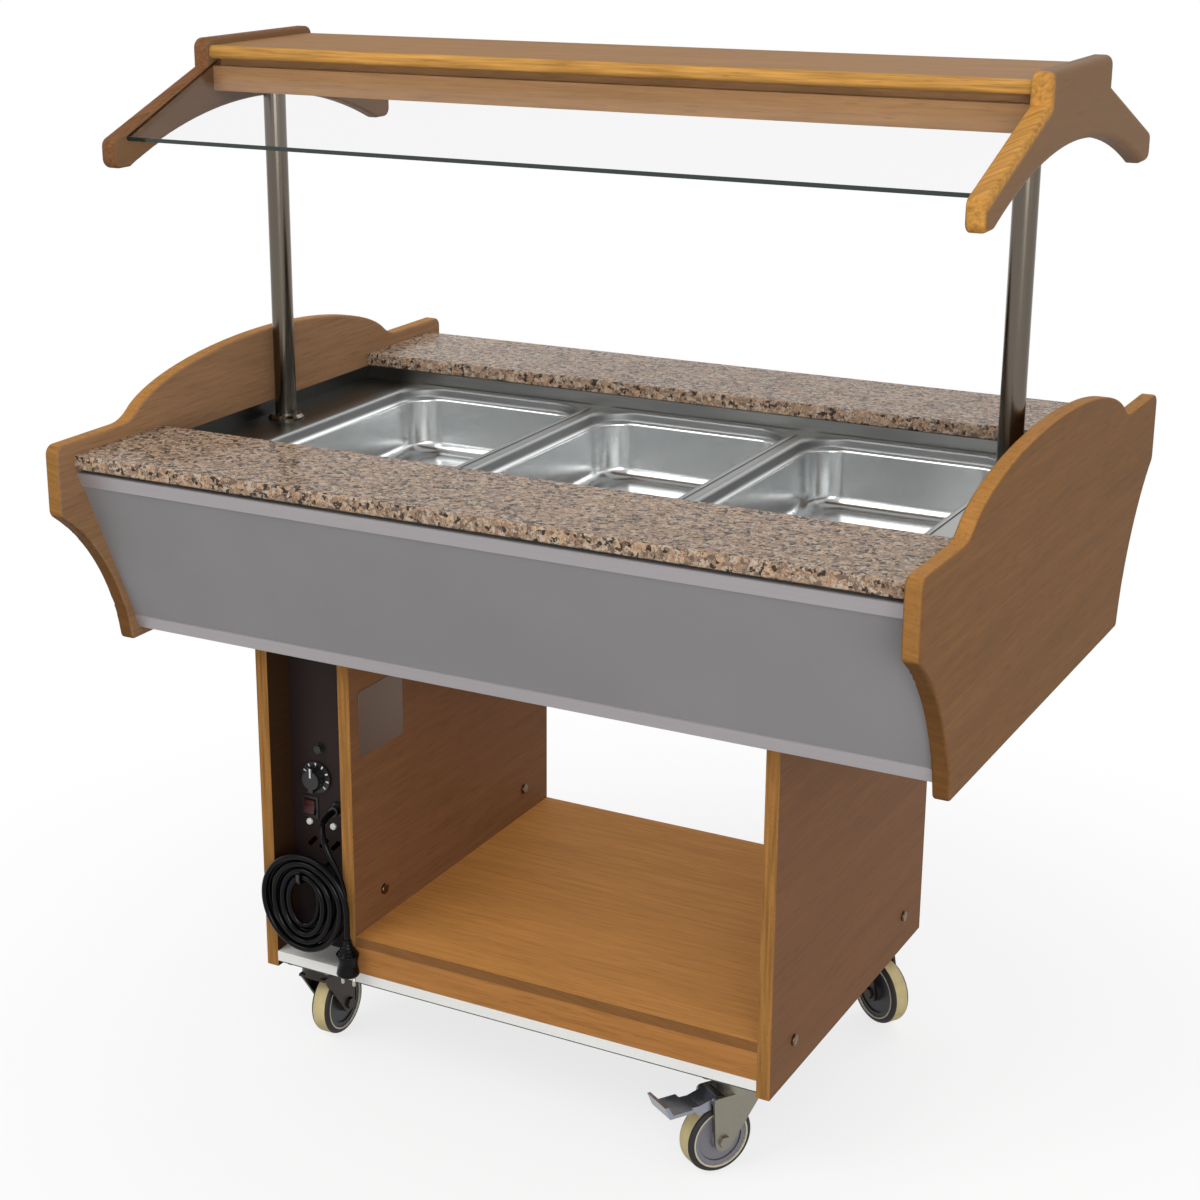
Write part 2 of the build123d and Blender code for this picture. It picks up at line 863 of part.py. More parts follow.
with BuildPart() as cap:
    with BuildSketch(front_plane):
        with Locations(cap_at):
            RegularPolygon(cap_radius, 6)
    extrude(amount=cap_nut_height)
    with BuildSketch(front_plane):
        with Locations(cap_at):
            Circle(cap_crown_radius)
    extrude(amount=cap_height)
    with BuildSketch(front_plane):
        with Locations(cap_at):
            Circle(cap_body_radius)
    extrude(amount=-lamp_body_depth)
save(cap.part, "limiter_cap")

with BuildPart() as gland:
    with BuildSketch(front_plane):
        with Locations(gland_at):
            RegularPolygon(gland_nut_radius, 6)
    extrude(amount=gland_nut_height)
    with BuildSketch(front_plane.offset(gland_nut_height)):
        with Locations(gland_at):
            Circle(gland_dome_radius)
    extrude(amount=gland_dome_height)
    fillet(gland.faces().sort_by(Axis.Y)[0].edges(), gland_mouth_round)
    with BuildSketch(front_plane):
        with Locations(gland_at):
            Circle(gland_shank_radius)
    extrude(amount=-gland_shank_depth)
save(gland.part, "cable_gland")


# Mains cord: a lead from the gland, a coil on its hook, and a tail that hangs straight to the plug

cord_radius = cord_diameter / 2
coil_x = compartment_x + coil_offset
coil_z = counter_bottom - coil_centre_drop
coil_back_y = -base_front - coil_front_gap - cord_radius
coil_front_y = coil_back_y - coil_layer_pitch
coil_start = Vector(coil_x + coil_radius, coil_back_y, coil_z)


def half_turn(start, radius, upwards, layer_y):
    """Ends and crown of one half turn; a change of layer tilts its plane."""
    sense = 1 if upwards else -1
    end = Vector(start.X + sense * 2 * radius, layer_y, start.Z)
    middle = (start + end) * 0.5
    crown = middle + Vector(0, 0, sense * (end - start).length / 2)
    return (start, crown, end)


coil_radii = [coil_radius - coil_step * turn for turn in range(coil_in_turns + 1)]
coil_radii += [coil_radius - coil_step * (coil_in_turns - 1 - turn) for turn in range(coil_out_turns)]
coil_turns = []
turn_start = coil_start
for turn, turn_radius in enumerate(coil_radii):
    turn_y = coil_back_y if turn < coil_in_turns else coil_front_y
    coil_turns.append(half_turn(turn_start, turn_radius, turn % 2 == 1, turn_y))
    turn_start = coil_turns[-1][2]
coil_end = turn_start
coil_straight = Vector(0, 0, cord_diameter)

with BuildPart() as coil:
    with BuildLine() as route:
        Line(coil_start + coil_straight, coil_start)
        for turn in coil_turns:
            ThreePointArc(*turn)
        Line(coil_end, coil_end - coil_straight)
    with BuildSketch(Plane(origin=coil_start + coil_straight, z_dir=(0, 0, -1))):
        Circle(cord_radius)
    sweep()
save(coil.part, "cord_coil")

# Least gap of the coil to itself, between points more than half a turn apart along the cord
samples_per_turn = 24
coil_samples = []
for edge in route.edges()[1:-1]:
    coil_samples += [edge @ (step / samples_per_turn) for step in range(samples_per_turn)]
coil_gap = min(
    (first - second).length - cord_diameter
    for place, first in enumerate(coil_samples)
    for second in coil_samples[place + samples_per_turn:]
)
print(f"coil: {len(coil_turns) / 2:g} loops, least gap to itself {coil_gap:.2f} mm")
cord_section = math.pi * cord_radius**2
coil_length = route.wire().length
print(f"coil: volume over section times length {coil.part.volume / cord_section / coil_length:.4f}")

gland_mouth = Vector(gland_at[0], -control_face - gland_nut_height - gland_dome_height, gland_at[1])
lead_end = coil_start + coil_straight
lead_points = [
    gland_mouth,
    gland_mouth + Vector(0, -22, 0),
    gland_mouth + Vector(8.5, -42.5, -15),
    gland_mouth + Vector(21.5, -47.5, -39),
    lead_end + Vector(-8.5, -1, 45),
    lead_end + Vector(0, 0, 19),
    lead_end,
]


def cord_radii(points):
    """Largest bend that fits at each corner of a route."""
    radii = []
    for before, corner, after in zip(points, points[1:], points[2:]):
        turn = math.radians((corner - before).get_angle(after - corner))
        shorter = min((corner - before).length, (after - corner).length)
        radii.append(0.45 * shorter / math.tan(turn / 2))
    return radii


lead_radii = cord_radii(lead_points)
print("lead: bend radii", [round(radius, 1) for radius in lead_radii])
with BuildPart() as lead:
    with BuildLine() as lead_route:
        FilletPolyline(*lead_points, radius=lead_radii)
    with BuildSketch(Plane(origin=lead_points[0], z_dir=lead_points[1] - lead_points[0])):
        Circle(cord_radius)
    sweep()
save(lead.part, "cord_lead")
lead_length = lead_route.wire().length
print(f"lead: volume over section times length {lead.part.volume / cord_section / lead_length:.4f}")

tail_top = coil_end - coil_straight
with BuildPart() as tail:
    with BuildSketch(Plane(origin=tail_top, z_dir=(0, 0, -1))):
        Circle(cord_radius)
    extrude(amount=tail_length)
save(tail.part, "cord_tail")

plug_top = tail_top - Vector(0, 0, tail_length)
plug_length = plug_neck_length + plug_body_length
with BuildPart() as plug:
    with BuildSketch(Plane(origin=plug_top, x_dir=(1, 0, 0), z_dir=(0, -1, 0))):
        with BuildLine():
            Polyline(
                (0, 0),
                (plug_neck_radius, 0),
                (plug_shoulder_radius, -plug_neck_length),
                (plug_radius, -plug_neck_length - plug_edge_round),
                (plug_radius, plug_edge_round - plug_length),
                (plug_shoulder_radius, -plug_length),
                (0, -plug_length),
                close=True,
            )
        make_face()
    revolve(axis=Axis(plug_top, (0, 0, 1)))
    with BuildSketch(Plane(origin=plug_top - Vector(0, 0, plug_length), z_dir=(0, 0, -1))):
        with GridLocations(pin_spacing, 0, 2, 1):
            Circle(pin_radius)
    extrude(amount=pin_length)
save(plug.part, "mains_plug")

# Hook through the eye of the coil, turned up in front of it
inner_top = coil_radius - coil_step * (coil_in_turns - 1) - cord_radius
hook_z = coil_z + math.sqrt(inner_top**2 - (coil_step + hook_radius) ** 2) - hook_radius - hook_gap
hook_y = coil_front_y - cord_radius - hook_radius - hook_gap
hook_points = [(coil_x, -control_face, hook_z), (coil_x, hook_y, hook_z), (coil_x, hook_y, hook_z + hook_lip)]
with BuildPart() as hook:
    with BuildLine() as hook_route:
        FilletPolyline(*hook_points, radius=hook_bend)
    with BuildSketch(Plane(origin=hook_points[0], z_dir=(0, -1, 0))):
        Circle(hook_radius)
    sweep()
save(hook.part, "cord_hook")


# Casters, each drawn about its own swivel axis with the wheel trailing along +X, then set in place

plate_bottom = caster_height - caster_plate_thickness
head_top = plate_bottom - swivel_gap
crown_top = head_top - head_height
crown_bottom = crown_top - crown_thickness
leg_inner = hub_boss_width / 2 + fork_gap
leg_outer = leg_inner + fork_leg
axle_at = (caster_trail, wheel_radius)
pivot_at = (pedal_pivot_reach, pedal_pivot_height)

with BuildPart() as caster_plate:
    with BuildSketch(Plane.XY.offset(plate_bottom)):
        RectangleRounded(plate_width, plate_width, plate_corner)
    extrude(amount=caster_plate_thickness)
    with BuildSketch(Plane.XY.offset(plate_bottom)):
        Circle(kingpin_radius)
    extrude(amount=crown_bottom - swivel_gap - plate_bottom)
    with BuildSketch(Plane.XY.offset(crown_bottom - swivel_gap)):
        Circle(kingpin_head_radius)
    extrude(amount=-kingpin_head)


def caster_fork(braked):
    with BuildPart() as fork:
        with BuildSketch(Plane.XY.offset(crown_top)):
            Circle(head_radius)
        extrude(amount=head_height)
        fillet(fork.faces().sort_by(Axis.Z)[-1].edges(), head_round)
        with BuildSketch(Plane.XY.offset(crown_bottom)):
            with Locations(((fork_nose - fork_heel) / 2, 0)):
                Rectangle(fork_nose + fork_heel, 2 * leg_outer)
        extrude(amount=crown_thickness)
        with BuildSketch(Plane.XZ.offset(leg_inner)) as leg:
            with BuildLine():
                Line((-fork_heel, crown_top), (fork_nose, crown_top))
                CenterArc(axle_at, fork_toe, 0, 360)
                if braked:
                    CenterArc(pivot_at, pedal_boss_radius, 0, 360)
            make_hull()
        extrude(amount=fork_leg)
        mirror(about=Plane.XZ)
        with BuildSketch(Plane.XZ):
            with Locations(axle_at):
                Circle(axle_radius)
        extrude(amount=leg_outer, both=True)
        with BuildSketch(Plane.XZ.offset(leg_outer)):
            with Locations(axle_at):
                RegularPolygon(axle_head_radius, 6)
        extrude(amount=axle_head)
        with BuildSketch(Plane.XZ.offset(-leg_outer)):
            with Locations(axle_at):
                RegularPolygon(axle_head_radius, 6)
        extrude(amount=-axle_head)
        if braked:
            with BuildSketch(Plane.XZ):
                with Locations(pivot_at):
                    Circle(pedal_pin_radius)
            extrude(amount=leg_outer, both=True)
        with BuildSketch(Plane.XY.offset(crown_bottom)):
            Circle(kingpin_radius + swivel_clearance)
        extrude(amount=head_top - crown_bottom, mode=Mode.SUBTRACT)
    return fork.part


wheel_plane = Plane(origin=(caster_trail, 0, wheel_radius), x_dir=(0, 1, 0), z_dir=(1, 0, 0))
wheel_axis = Axis((caster_trail, 0, wheel_radius), (0, 1, 0))
bore_radius = axle_radius + wheel_bore_clearance

with BuildPart() as hub:
    with BuildSketch(wheel_plane):
        with Locations((0, (bore_radius + hub_boss_radius) / 2)):
            Rectangle(hub_boss_width, hub_boss_radius - bore_radius)
        with Locations((0, (hub_boss_radius + hub_radius) / 2)):
            Rectangle(hub_web, hub_radius - hub_boss_radius)
        with Locations((0, hub_radius - hub_rim / 2)):
            Rectangle(hub_rim_width, hub_rim)
    revolve(axis=wheel_axis)

with BuildPart() as tyre:
    with BuildSketch(wheel_plane) as section:
        with Locations((0, (hub_radius + wheel_radius) / 2)):
            Rectangle(wheel_width, wheel_radius - hub_radius)
        fillet(section.vertices().group_by(Axis.Y)[-1], tyre_round)
    revolve(axis=wheel_axis)

# Brake pedal: its shoe is cut to the tyre as it stands when the pedal is pressed
throw = math.radians(brake_throw)
to_wheel = (axle_at[0] - pivot_at[0], axle_at[1] - pivot_at[1])
pressed_at = (
    pivot_at[0] + to_wheel[0] * math.cos(throw) - to_wheel[1] * math.sin(throw),
    pivot_at[1] + to_wheel[0] * math.sin(throw) + to_wheel[1] * math.cos(throw),
)
with BuildPart() as pedal:
    with BuildSketch(Plane.XZ):
        with Locations(pivot_at):
            Circle(pedal_boss_radius)
    extrude(amount=leg_inner - pedal_side_gap, both=True)
    with BuildSketch(Plane.XZ):
        with BuildLine():
            heel = (pivot_at[0], pivot_at[1] + pedal_boss_radius - pedal_thickness)
            Polyline(
                heel,
                (pedal_shoe_reach, pivot_at[1] - pedal_thickness),
                (pedal_reach, pedal_tip_height - pedal_thickness),
                (pedal_reach, pedal_tip_height),
                (pedal_shoe_reach, pivot_at[1]),
                (pivot_at[0], pivot_at[1] + pedal_boss_radius),
                close=True,
            )
        make_face()
        with BuildLine():
            Polyline(
                heel,
                (pedal_shoe_reach, pivot_at[1] - pedal_thickness),
                (pedal_shoe_reach, wheel_radius),
                (pivot_at[0], wheel_radius),
                close=True,
            )
        make_face()
        with Locations(pressed_at):
            Circle(wheel_radius + shoe_clearance, mode=Mode.SUBTRACT)
    extrude(amount=pedal_width / 2, both=True)
    with BuildSketch(Plane.XZ):
        with BuildLine():
            Polyline(
                (pedal_claw_start, pedal_tip_height - pedal_thickness),
                (pedal_reach, pedal_tip_height - pedal_thickness),
                (pedal_reach + pedal_curl, pedal_tip_height + pedal_curl_rise),
                (pedal_reach + pedal_curl - pedal_thickness, pedal_tip_height + pedal_curl_rise),
                (pedal_reach - pedal_thickness, pedal_tip_height),
                (pedal_claw_start, pedal_tip_height),
                close=True,
            )
        make_face()
    extrude(amount=pedal_claw_width / 2, both=True)
    with BuildSketch(Plane.XZ):
        with Locations(pivot_at):
            Circle(pedal_pin_radius + pedal_pin_clearance)
    extrude(amount=leg_inner, both=True, mode=Mode.SUBTRACT)

# Where each caster stands and which way its wheel trails in the photographed rest
caster_inset_x = base_board + plate_width / 2 + plate_gap
caster_left = base_left + caster_inset_x
caster_right = base_right - caster_inset_x
caster_row = base_front - caster_inset_y
casters = {
    "front_left": (caster_left, -caster_row, trail_front_left, True),
    "front_right": (caster_right, -caster_row, trail_front_right, True),
    "rear_left": (caster_left, caster_row, trail_rear_left, False),
    "rear_right": (caster_right, caster_row, trail_rear_right, False),
}
plates = [caster_plate.part.moved(Location((x, y, 0))) for x, y, heading, braked in casters.values()]
save(group(plates), "caster_plates")
for place, (x, y, heading, braked) in casters.items():
    stand = Location((x, y, 0), (0, 0, heading))
    save(caster_fork(braked).moved(stand), f"caster_fork_{place}")
    save(hub.part.moved(stand), f"wheel_hub_{place}")
    save(tyre.part.moved(stand), f"tyre_{place}")
    if braked:
        save(pedal.part.moved(stand), f"brake_pedal_{place}")
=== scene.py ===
# %% [markdown]
# # A hot buffet counter, dressed for a studio picture
# The counter is a real catering piece: oak laminate boards, two granite shelves, a stainless well with
# three lift-out pans, and a canopy with one sloping glass on two polished posts. Its solids come in as a
# fixed frame, in metres, with the floor at z = 0 and the front towards -Y. This script gives every piece
# its finish and adds the few pieces that are better drawn as smooth surfaces: the pressed pans, the mains
# cord and its plug, the marks on the dial and the small fixings.

# %% load the frame
import math

import bmesh
import bpy
import numpy as np
from mathutils import Matrix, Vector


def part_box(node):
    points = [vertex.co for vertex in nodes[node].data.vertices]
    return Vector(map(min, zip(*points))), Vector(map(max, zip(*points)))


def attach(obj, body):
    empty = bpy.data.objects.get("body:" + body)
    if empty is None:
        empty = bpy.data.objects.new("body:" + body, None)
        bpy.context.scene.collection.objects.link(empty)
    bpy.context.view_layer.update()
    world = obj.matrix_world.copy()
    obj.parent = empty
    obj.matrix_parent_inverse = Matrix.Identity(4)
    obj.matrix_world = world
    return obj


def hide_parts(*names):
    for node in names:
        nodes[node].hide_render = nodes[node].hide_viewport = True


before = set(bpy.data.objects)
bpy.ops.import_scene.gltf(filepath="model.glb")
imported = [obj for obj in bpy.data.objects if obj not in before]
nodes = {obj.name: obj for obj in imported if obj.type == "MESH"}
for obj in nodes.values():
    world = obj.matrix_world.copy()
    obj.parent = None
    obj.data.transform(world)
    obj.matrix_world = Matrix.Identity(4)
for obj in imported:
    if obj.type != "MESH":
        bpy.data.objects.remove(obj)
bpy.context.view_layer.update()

scene = bpy.context.scene
LOW, HIGH = 0, 1
ALONG_X, ALONG_Y, ALONG_Z = 0, 1, 2


def face(node, end, axis):
    """Place of one face of a solid: the low or high end of its box along an axis, to the micrometre."""
    return round(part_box(node)[end][axis], 6)


# %% [markdown]
# ## The camera
# A camera could be placed by eye, but then nothing lines up with the photograph. Here it was worked out
# from fifty corners and thirty-one points along edges that show in the picture. The camera that puts them
# nearest to where they are seen, with its view centre held towards the middle of the picture, has this
# position, heading, tilt, roll and focal length.

# %% camera
picture_side = 1200
camera_place = (1.37222, -2.75090, 1.70447)
heading, tilt, roll = np.radians([30.17, 17.60, -0.54])
focal_pixels = 2277.19
centre_pixel = (480.84, 568.12)
sensor_width = 36.0
view_depth = 60.0


def stand(piece, axes, place):
    """Puts a camera or a lamp at a place, with its own X, Y and Z along three unit axes."""
    scene.collection.objects.link(piece)
    pose = np.eye(4)
    pose[:3, :3] = np.column_stack(axes)
    pose[:3, 3] = place
    piece.matrix_world = Matrix(pose.tolist())


level_forward = np.array([-math.sin(heading), math.cos(heading), 0.0])
level_right = np.array([math.cos(heading), math.sin(heading), 0.0])
forward = math.cos(tilt) * level_forward - math.sin(tilt) * np.array([0.0, 0.0, 1.0])
level_up = np.cross(level_right, forward)
right = math.cos(roll) * level_right + math.sin(roll) * level_up
up = math.cos(roll) * level_up - math.sin(roll) * level_right

camera_data = bpy.data.cameras.new("view")
camera_data.sensor_fit = "HORIZONTAL"
camera_data.sensor_width = sensor_width
camera_data.lens = focal_pixels / picture_side * sensor_width
camera_data.shift_x = (picture_side / 2 - centre_pixel[0]) / picture_side
camera_data.shift_y = (centre_pixel[1] - picture_side / 2) / picture_side
camera_data.clip_end = view_depth
camera = bpy.data.objects.new("view", camera_data)
stand(camera, (right, up, -forward), camera_place)
bpy.context.scene.camera = camera
print("lens", round(camera_data.lens, 2))
print("shift", round(camera_data.shift_x, 4), round(camera_data.shift_y, 4))

# %% [markdown]
# ## A small language for finishes
# Shader graphs are easier to read as sums than as boxes and wires. `Field` stands for one output socket,
# and its operators add the Math nodes. `Finish` is one material: its `node` method adds any other node,
# setting the node's own choices first and then filling its sockets with numbers or with fields.


# %% fields
class Field:
    """A value that changes over a surface: one output socket of a finish."""

    def __init__(self, finish, socket):
        self.finish = finish
        self.socket = socket

    def maths(self, operation, *values):
        """A Math node on these values, as a new field."""
        return self.finish.node("ShaderNodeMath", {"operation": operation}, dict(enumerate(values)))

    def __add__(self, other):
        return self.maths("ADD", self, other)

    def __sub__(self, other):
        return self.maths("SUBTRACT", self, other)

    def __rsub__(self, other):
        return self.maths("SUBTRACT", other, self)

    def __mul__(self, other):
        return self.maths("MULTIPLY", self, other)

    def __pow__(self, other):
        return self.maths("POWER", self, other)

    def __abs__(self):
        return self.maths("ABSOLUTE", self)

    __radd__ = __add__
    __rmul__ = __mul__

    def or_more(self, other):
        """The larger of two fields."""
        return self.maths("MAXIMUM", self, other)


print("fields add their own Math nodes")

# %% finishes
NOISE_ROUGHNESS = 0.55


class Finish:
    """One material, with a principled shader whose plain numbers are set on its own sockets."""

    def __init__(self, name, **sockets):
        self.material = bpy.data.materials.new(name)
        self.material.use_nodes = True
        self.tree = self.material.node_tree
        self.shader = self.tree.nodes["Principled BSDF"]
        self.output = self.tree.nodes["Material Output"]
        self.set(**sockets)

    def set(self, **sockets):
        """Fills sockets of the shader, each called by its title in small letters with underscores."""
        for socket, value in sockets.items():
            title = socket.replace("_", " ").title().replace("Ior", "IOR")
            self.put(self.shader.inputs[title], value)

    def put(self, socket, value):
        """Links a field to a socket, or sets the plain value of the socket."""
        if isinstance(value, Field):
            self.tree.links.new(value.socket, socket)
        else:
            socket.default_value = value

    def node(self, kind, settings=None, sockets=None, out=0):
        """Adds a node: its settings first, then its sockets. Gives one output, or several."""
        node = self.tree.nodes.new(kind)
        for key, value in (settings or {}).items():
            if key == "stops":
                while len(node.color_ramp.elements) < len(value):
                    node.color_ramp.elements.new(0.5)
                for element, (place, colour) in zip(node.color_ramp.elements, value):
                    element.position, element.color = place, colour
            elif key == "blend":
                node.color_ramp.interpolation = value
            else:
                setattr(node, key, value)
        for key, value in (sockets or {}).items():
            self.put(node.inputs[key], value)
        if isinstance(out, tuple):
            return tuple(Field(self, node.outputs[one]) for one in out)
        return Field(self, node.outputs[out])

    def place(self):
        """Object coordinates: metres in the frame of the whole counter."""
        return self.node("ShaderNodeTexCoord", out="Object")

    def along(self, vector, location=(0, 0, 0), scale=(1, 1, 1)):
        """Coordinates scaled and then moved: a small scale along an axis draws a pattern out along it."""
        sockets = {"Vector": vector, "Location": location, "Scale": scale}
        return self.node("ShaderNodeMapping", {}, sockets)

    def own_frame(self, vector, centre=(0, 0, 0), turn=(0, 0, 0), unit=(1, 1, 1)):
        """Coordinates in a frame of their own, given by its centre, its turn and the size of its units."""
        sockets = {"Vector": vector, "Location": centre, "Rotation": turn, "Scale": unit}
        return self.node("ShaderNodeMapping", {"vector_type": "TEXTURE"}, sockets)

    def split(self, vector):
        """X, Y and Z of a vector, as three fields."""
        return self.node("ShaderNodeSeparateXYZ", {}, {0: vector}, out=(0, 1, 2))

    def noise(self, vector, scale, detail=3.0, distortion=0.0):
        """Cloudy noise from 0 to 1: its lumps to the metre, its steps of finer detail and its swirl."""
        sockets = {"Vector": vector, "Scale": scale, "Detail": detail}
        sockets |= {"Roughness": NOISE_ROUGHNESS, "Distortion": distortion}
        return self.node("ShaderNodeTexNoise", {}, sockets)

    def step(self, value, low, high):
        """0 below low, 1 above high, with a smooth run between."""
        settings = {"interpolation_type": "SMOOTHSTEP"}
        sockets = {0: value, 1: low, 2: high, 3: 0.0, 4: 1.0}
        return self.node("ShaderNodeMapRange", settings, sockets)

    def mix(self, amount, first, second, blend="MIX"):
        """The first colour, changed into the second or blended with it by an amount from 0 to 1."""
        settings = {"data_type": "RGBA", "blend_type": blend, "clamp_factor": True}
        return self.node("ShaderNodeMix", settings, {0: amount, 6: first, 7: second}, out=2)

    def bump(self, height, strength, distance):
        """Shades the surface as if it had this relief, at a strength and a depth in metres."""
        sockets = {"Strength": strength, "Distance": distance, "Height": height}
        self.put(self.shader.inputs["Normal"], self.node("ShaderNodeBump", {}, sockets))

    def overlay(self, amount, shader):
        """Lays a second shader over the principled one, as far as a mask says."""
        sockets = {0: amount, 1: Field(self, self.shader.outputs[0]), 2: shader}
        self.put(self.output.inputs["Surface"], self.node("ShaderNodeMixShader", {}, sockets))


print("a finish has", len([name for name in vars(Finish) if not name.startswith("__")]), "methods")


# %% colours and dressing
def linear(red, green, blue):
    """Screen colour from 0 to 255 turned into the linear light that a shader works in."""
    screen = np.array([red, green, blue]) / 255.0
    light = np.where(screen <= 0.04045, screen / 12.92, ((screen + 0.055) / 1.055) ** 2.4)
    return (*light.tolist(), 1.0)


def shade(colour, amount):
    """A screen colour made lighter or darker in linear light."""
    return tuple(min(1.0, part * amount) for part in linear(*colour)[:3]) + (1.0,)


def dress(finish, *names):
    """Puts a finish on the solids as they are."""
    for name in names:
        nodes[name].data.materials.clear()
        nodes[name].data.materials.append(finish.material)


print("middle grey is", round(linear(127, 127, 127)[0], 3), "in linear light")

# %% [markdown]
# ## The mains cord
# A cord is one length of rubber, so it is one smooth curve. Its points are the route of the solid cord:
# out of the gland, across to the coil, seven half turns that spiral in on one layer and seven that spiral
# out again on the next, and a short tail down to the plug. The turns come from a formula with twelve
# points to each half turn.

# %% cord coil
cord_diameter = 0.009
compartment_x = -0.3515
coil_x, coil_z = compartment_x, 0.258
coil_back_y, coil_front_y = -0.296, -0.307
HALF_TURNS, POINTS_PER_HALF = 7, 12
LARGEST, SMALLEST, TIGHTENING = 0.066, 0.040, 0.0052
tighter = TIGHTENING * np.arange(HALF_TURNS)
coil_radii = np.concatenate([LARGEST - tighter, SMALLEST + tighter])
NARROWING, DRIFT, DROP = 0.42, 0.003, 1.13


def slacken(x, z, layer):
    """Loops that only hang: each is drawn in sideways, the more the nearer it is to the middle of the coil,
    the two layers drift apart by a little, and every lower half hangs down further than the upper half."""
    across, rise = x - coil_x, z - coil_z
    inward = np.clip(1 - (across**2 + rise**2) / coil_radii[0] ** 2, 0, 1)
    across = across * (1 - NARROWING * inward) + DRIFT * (2 * layer - 1) * inward
    return coil_x + across, coil_z + np.where(rise < 0, rise * DROP, rise)


def coil_route():
    """Half turns end to end: each is a half circle below or above the middle line, its centre moved so that
    it starts where the last one stopped, and the seventh carries the cord forward to the second layer."""
    halves = np.arange(len(coil_radii))
    sense = np.where(halves % 2 == 1, 1.0, -1.0)
    ends = coil_x + coil_radii[0] + np.concatenate([[0.0], np.cumsum(2 * sense * coil_radii)])
    centres = (ends[:-1] + ends[1:]) / 2
    share = np.arange(POINTS_PER_HALF) / POINTS_PER_HALF
    angle = np.pi * share
    x = centres[:, None] - (sense * coil_radii)[:, None] * np.cos(angle)
    z = coil_z + (sense * coil_radii)[:, None] * np.sin(angle)
    climb = np.clip((halves - (HALF_TURNS - 1))[:, None] + share, 0, 1)
    layer = climb * climb * (3 - 2 * climb)
    y = coil_back_y + (coil_front_y - coil_back_y) * layer
    x, z = slacken(x, z, layer)
    return np.stack([x, y, z], -1).reshape(-1, 3), np.array([ends[-1], coil_front_y, coil_z])


loops, coil_end = coil_route()
print("coil points", len(loops))

# %% cord route
gland_mouth = np.array([compartment_x + 0.022, -0.254, 0.382])
coil_start = np.array([coil_x + coil_radii[0], coil_back_y, coil_z])
lead_end = coil_start + [0, 0, cord_diameter]
lead_points = np.array(
    [
        gland_mouth,
        gland_mouth + [0, -0.022, 0],
        gland_mouth + [0.0085, -0.0425, -0.015],
        gland_mouth + [0.0215, -0.0475, -0.039],
        lead_end + [-0.0085, -0.001, 0.045],
        lead_end + [0, 0, 0.019],
        lead_end,
    ]
)
tail_drops = np.array([0.0, 0.009, 0.025, 0.041])
tail_points = coil_end - tail_drops[:, None] * [0, 0, 1]
route = np.concatenate([lead_points, loops, tail_points])


def smooth_cord(name, points, diameter):
    """A tube on one open quadratic spline that has these points as its control points. The points carry the
    radius of the tube, so that the box of the curve is the box of the tube."""
    curve = bpy.data.curves.new(name, "CURVE")
    curve.dimensions = "3D"
    curve.bevel_depth = 1.0
    curve.bevel_resolution = 5
    curve.resolution_u = 4
    curve.use_fill_caps = True
    spline = curve.splines.new("NURBS")
    spline.points.add(len(points) - 1)
    weighted = np.column_stack([points, np.ones(len(points))])
    spline.points.foreach_set("co", weighted.astype(np.float32).ravel())
    spline.points.foreach_set("radius", np.full(len(points), diameter / 2, np.float32))
    spline.order_u = 3
    spline.use_endpoint_u = True
    piece = bpy.data.objects.new(name, curve)
    scene.collection.objects.link(piece)
    return piece


cord = smooth_cord("mains_cord", route, cord_diameter)
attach(cord, "counter")
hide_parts("cord_lead", "cord_coil", "cord_tail")
route_length = float(np.linalg.norm(np.diff(route, axis=0), axis=1).sum())
print("cord points", len(route), "length", round(route_length, 3))

# %% [markdown]
# ## Oak laminate
# The boards are chipboard with an oak-print face and golden edges. A photograph of veneer would be the
# quick way, but noise stretched along the grain gives the same streaks at any size. Three noises are
# enough: a broad figure, finer streaks and short dark pores. A mask on the board's own coordinates picks
# out the edges. The low index of refraction keeps the white studio from veiling the boards at a low angle.

# %% oak finish
GRAIN_STRETCH = 0.045
SATIN_IOR = 1.2
FACE_DARK, FACE_PALE, FACE_PAINTED_SHADE, FACE_PORE = 0.70, 1.30, 0.22, 0.42
EDGE_DARK, EDGE_PALE = 0.70, 1.32
LEVEL, UPRIGHT, ALONG_CHEEK, STRAIGHT = (0, 12, 0), (0, 90, 0), (0, -17, 55), (0, 0, 0)


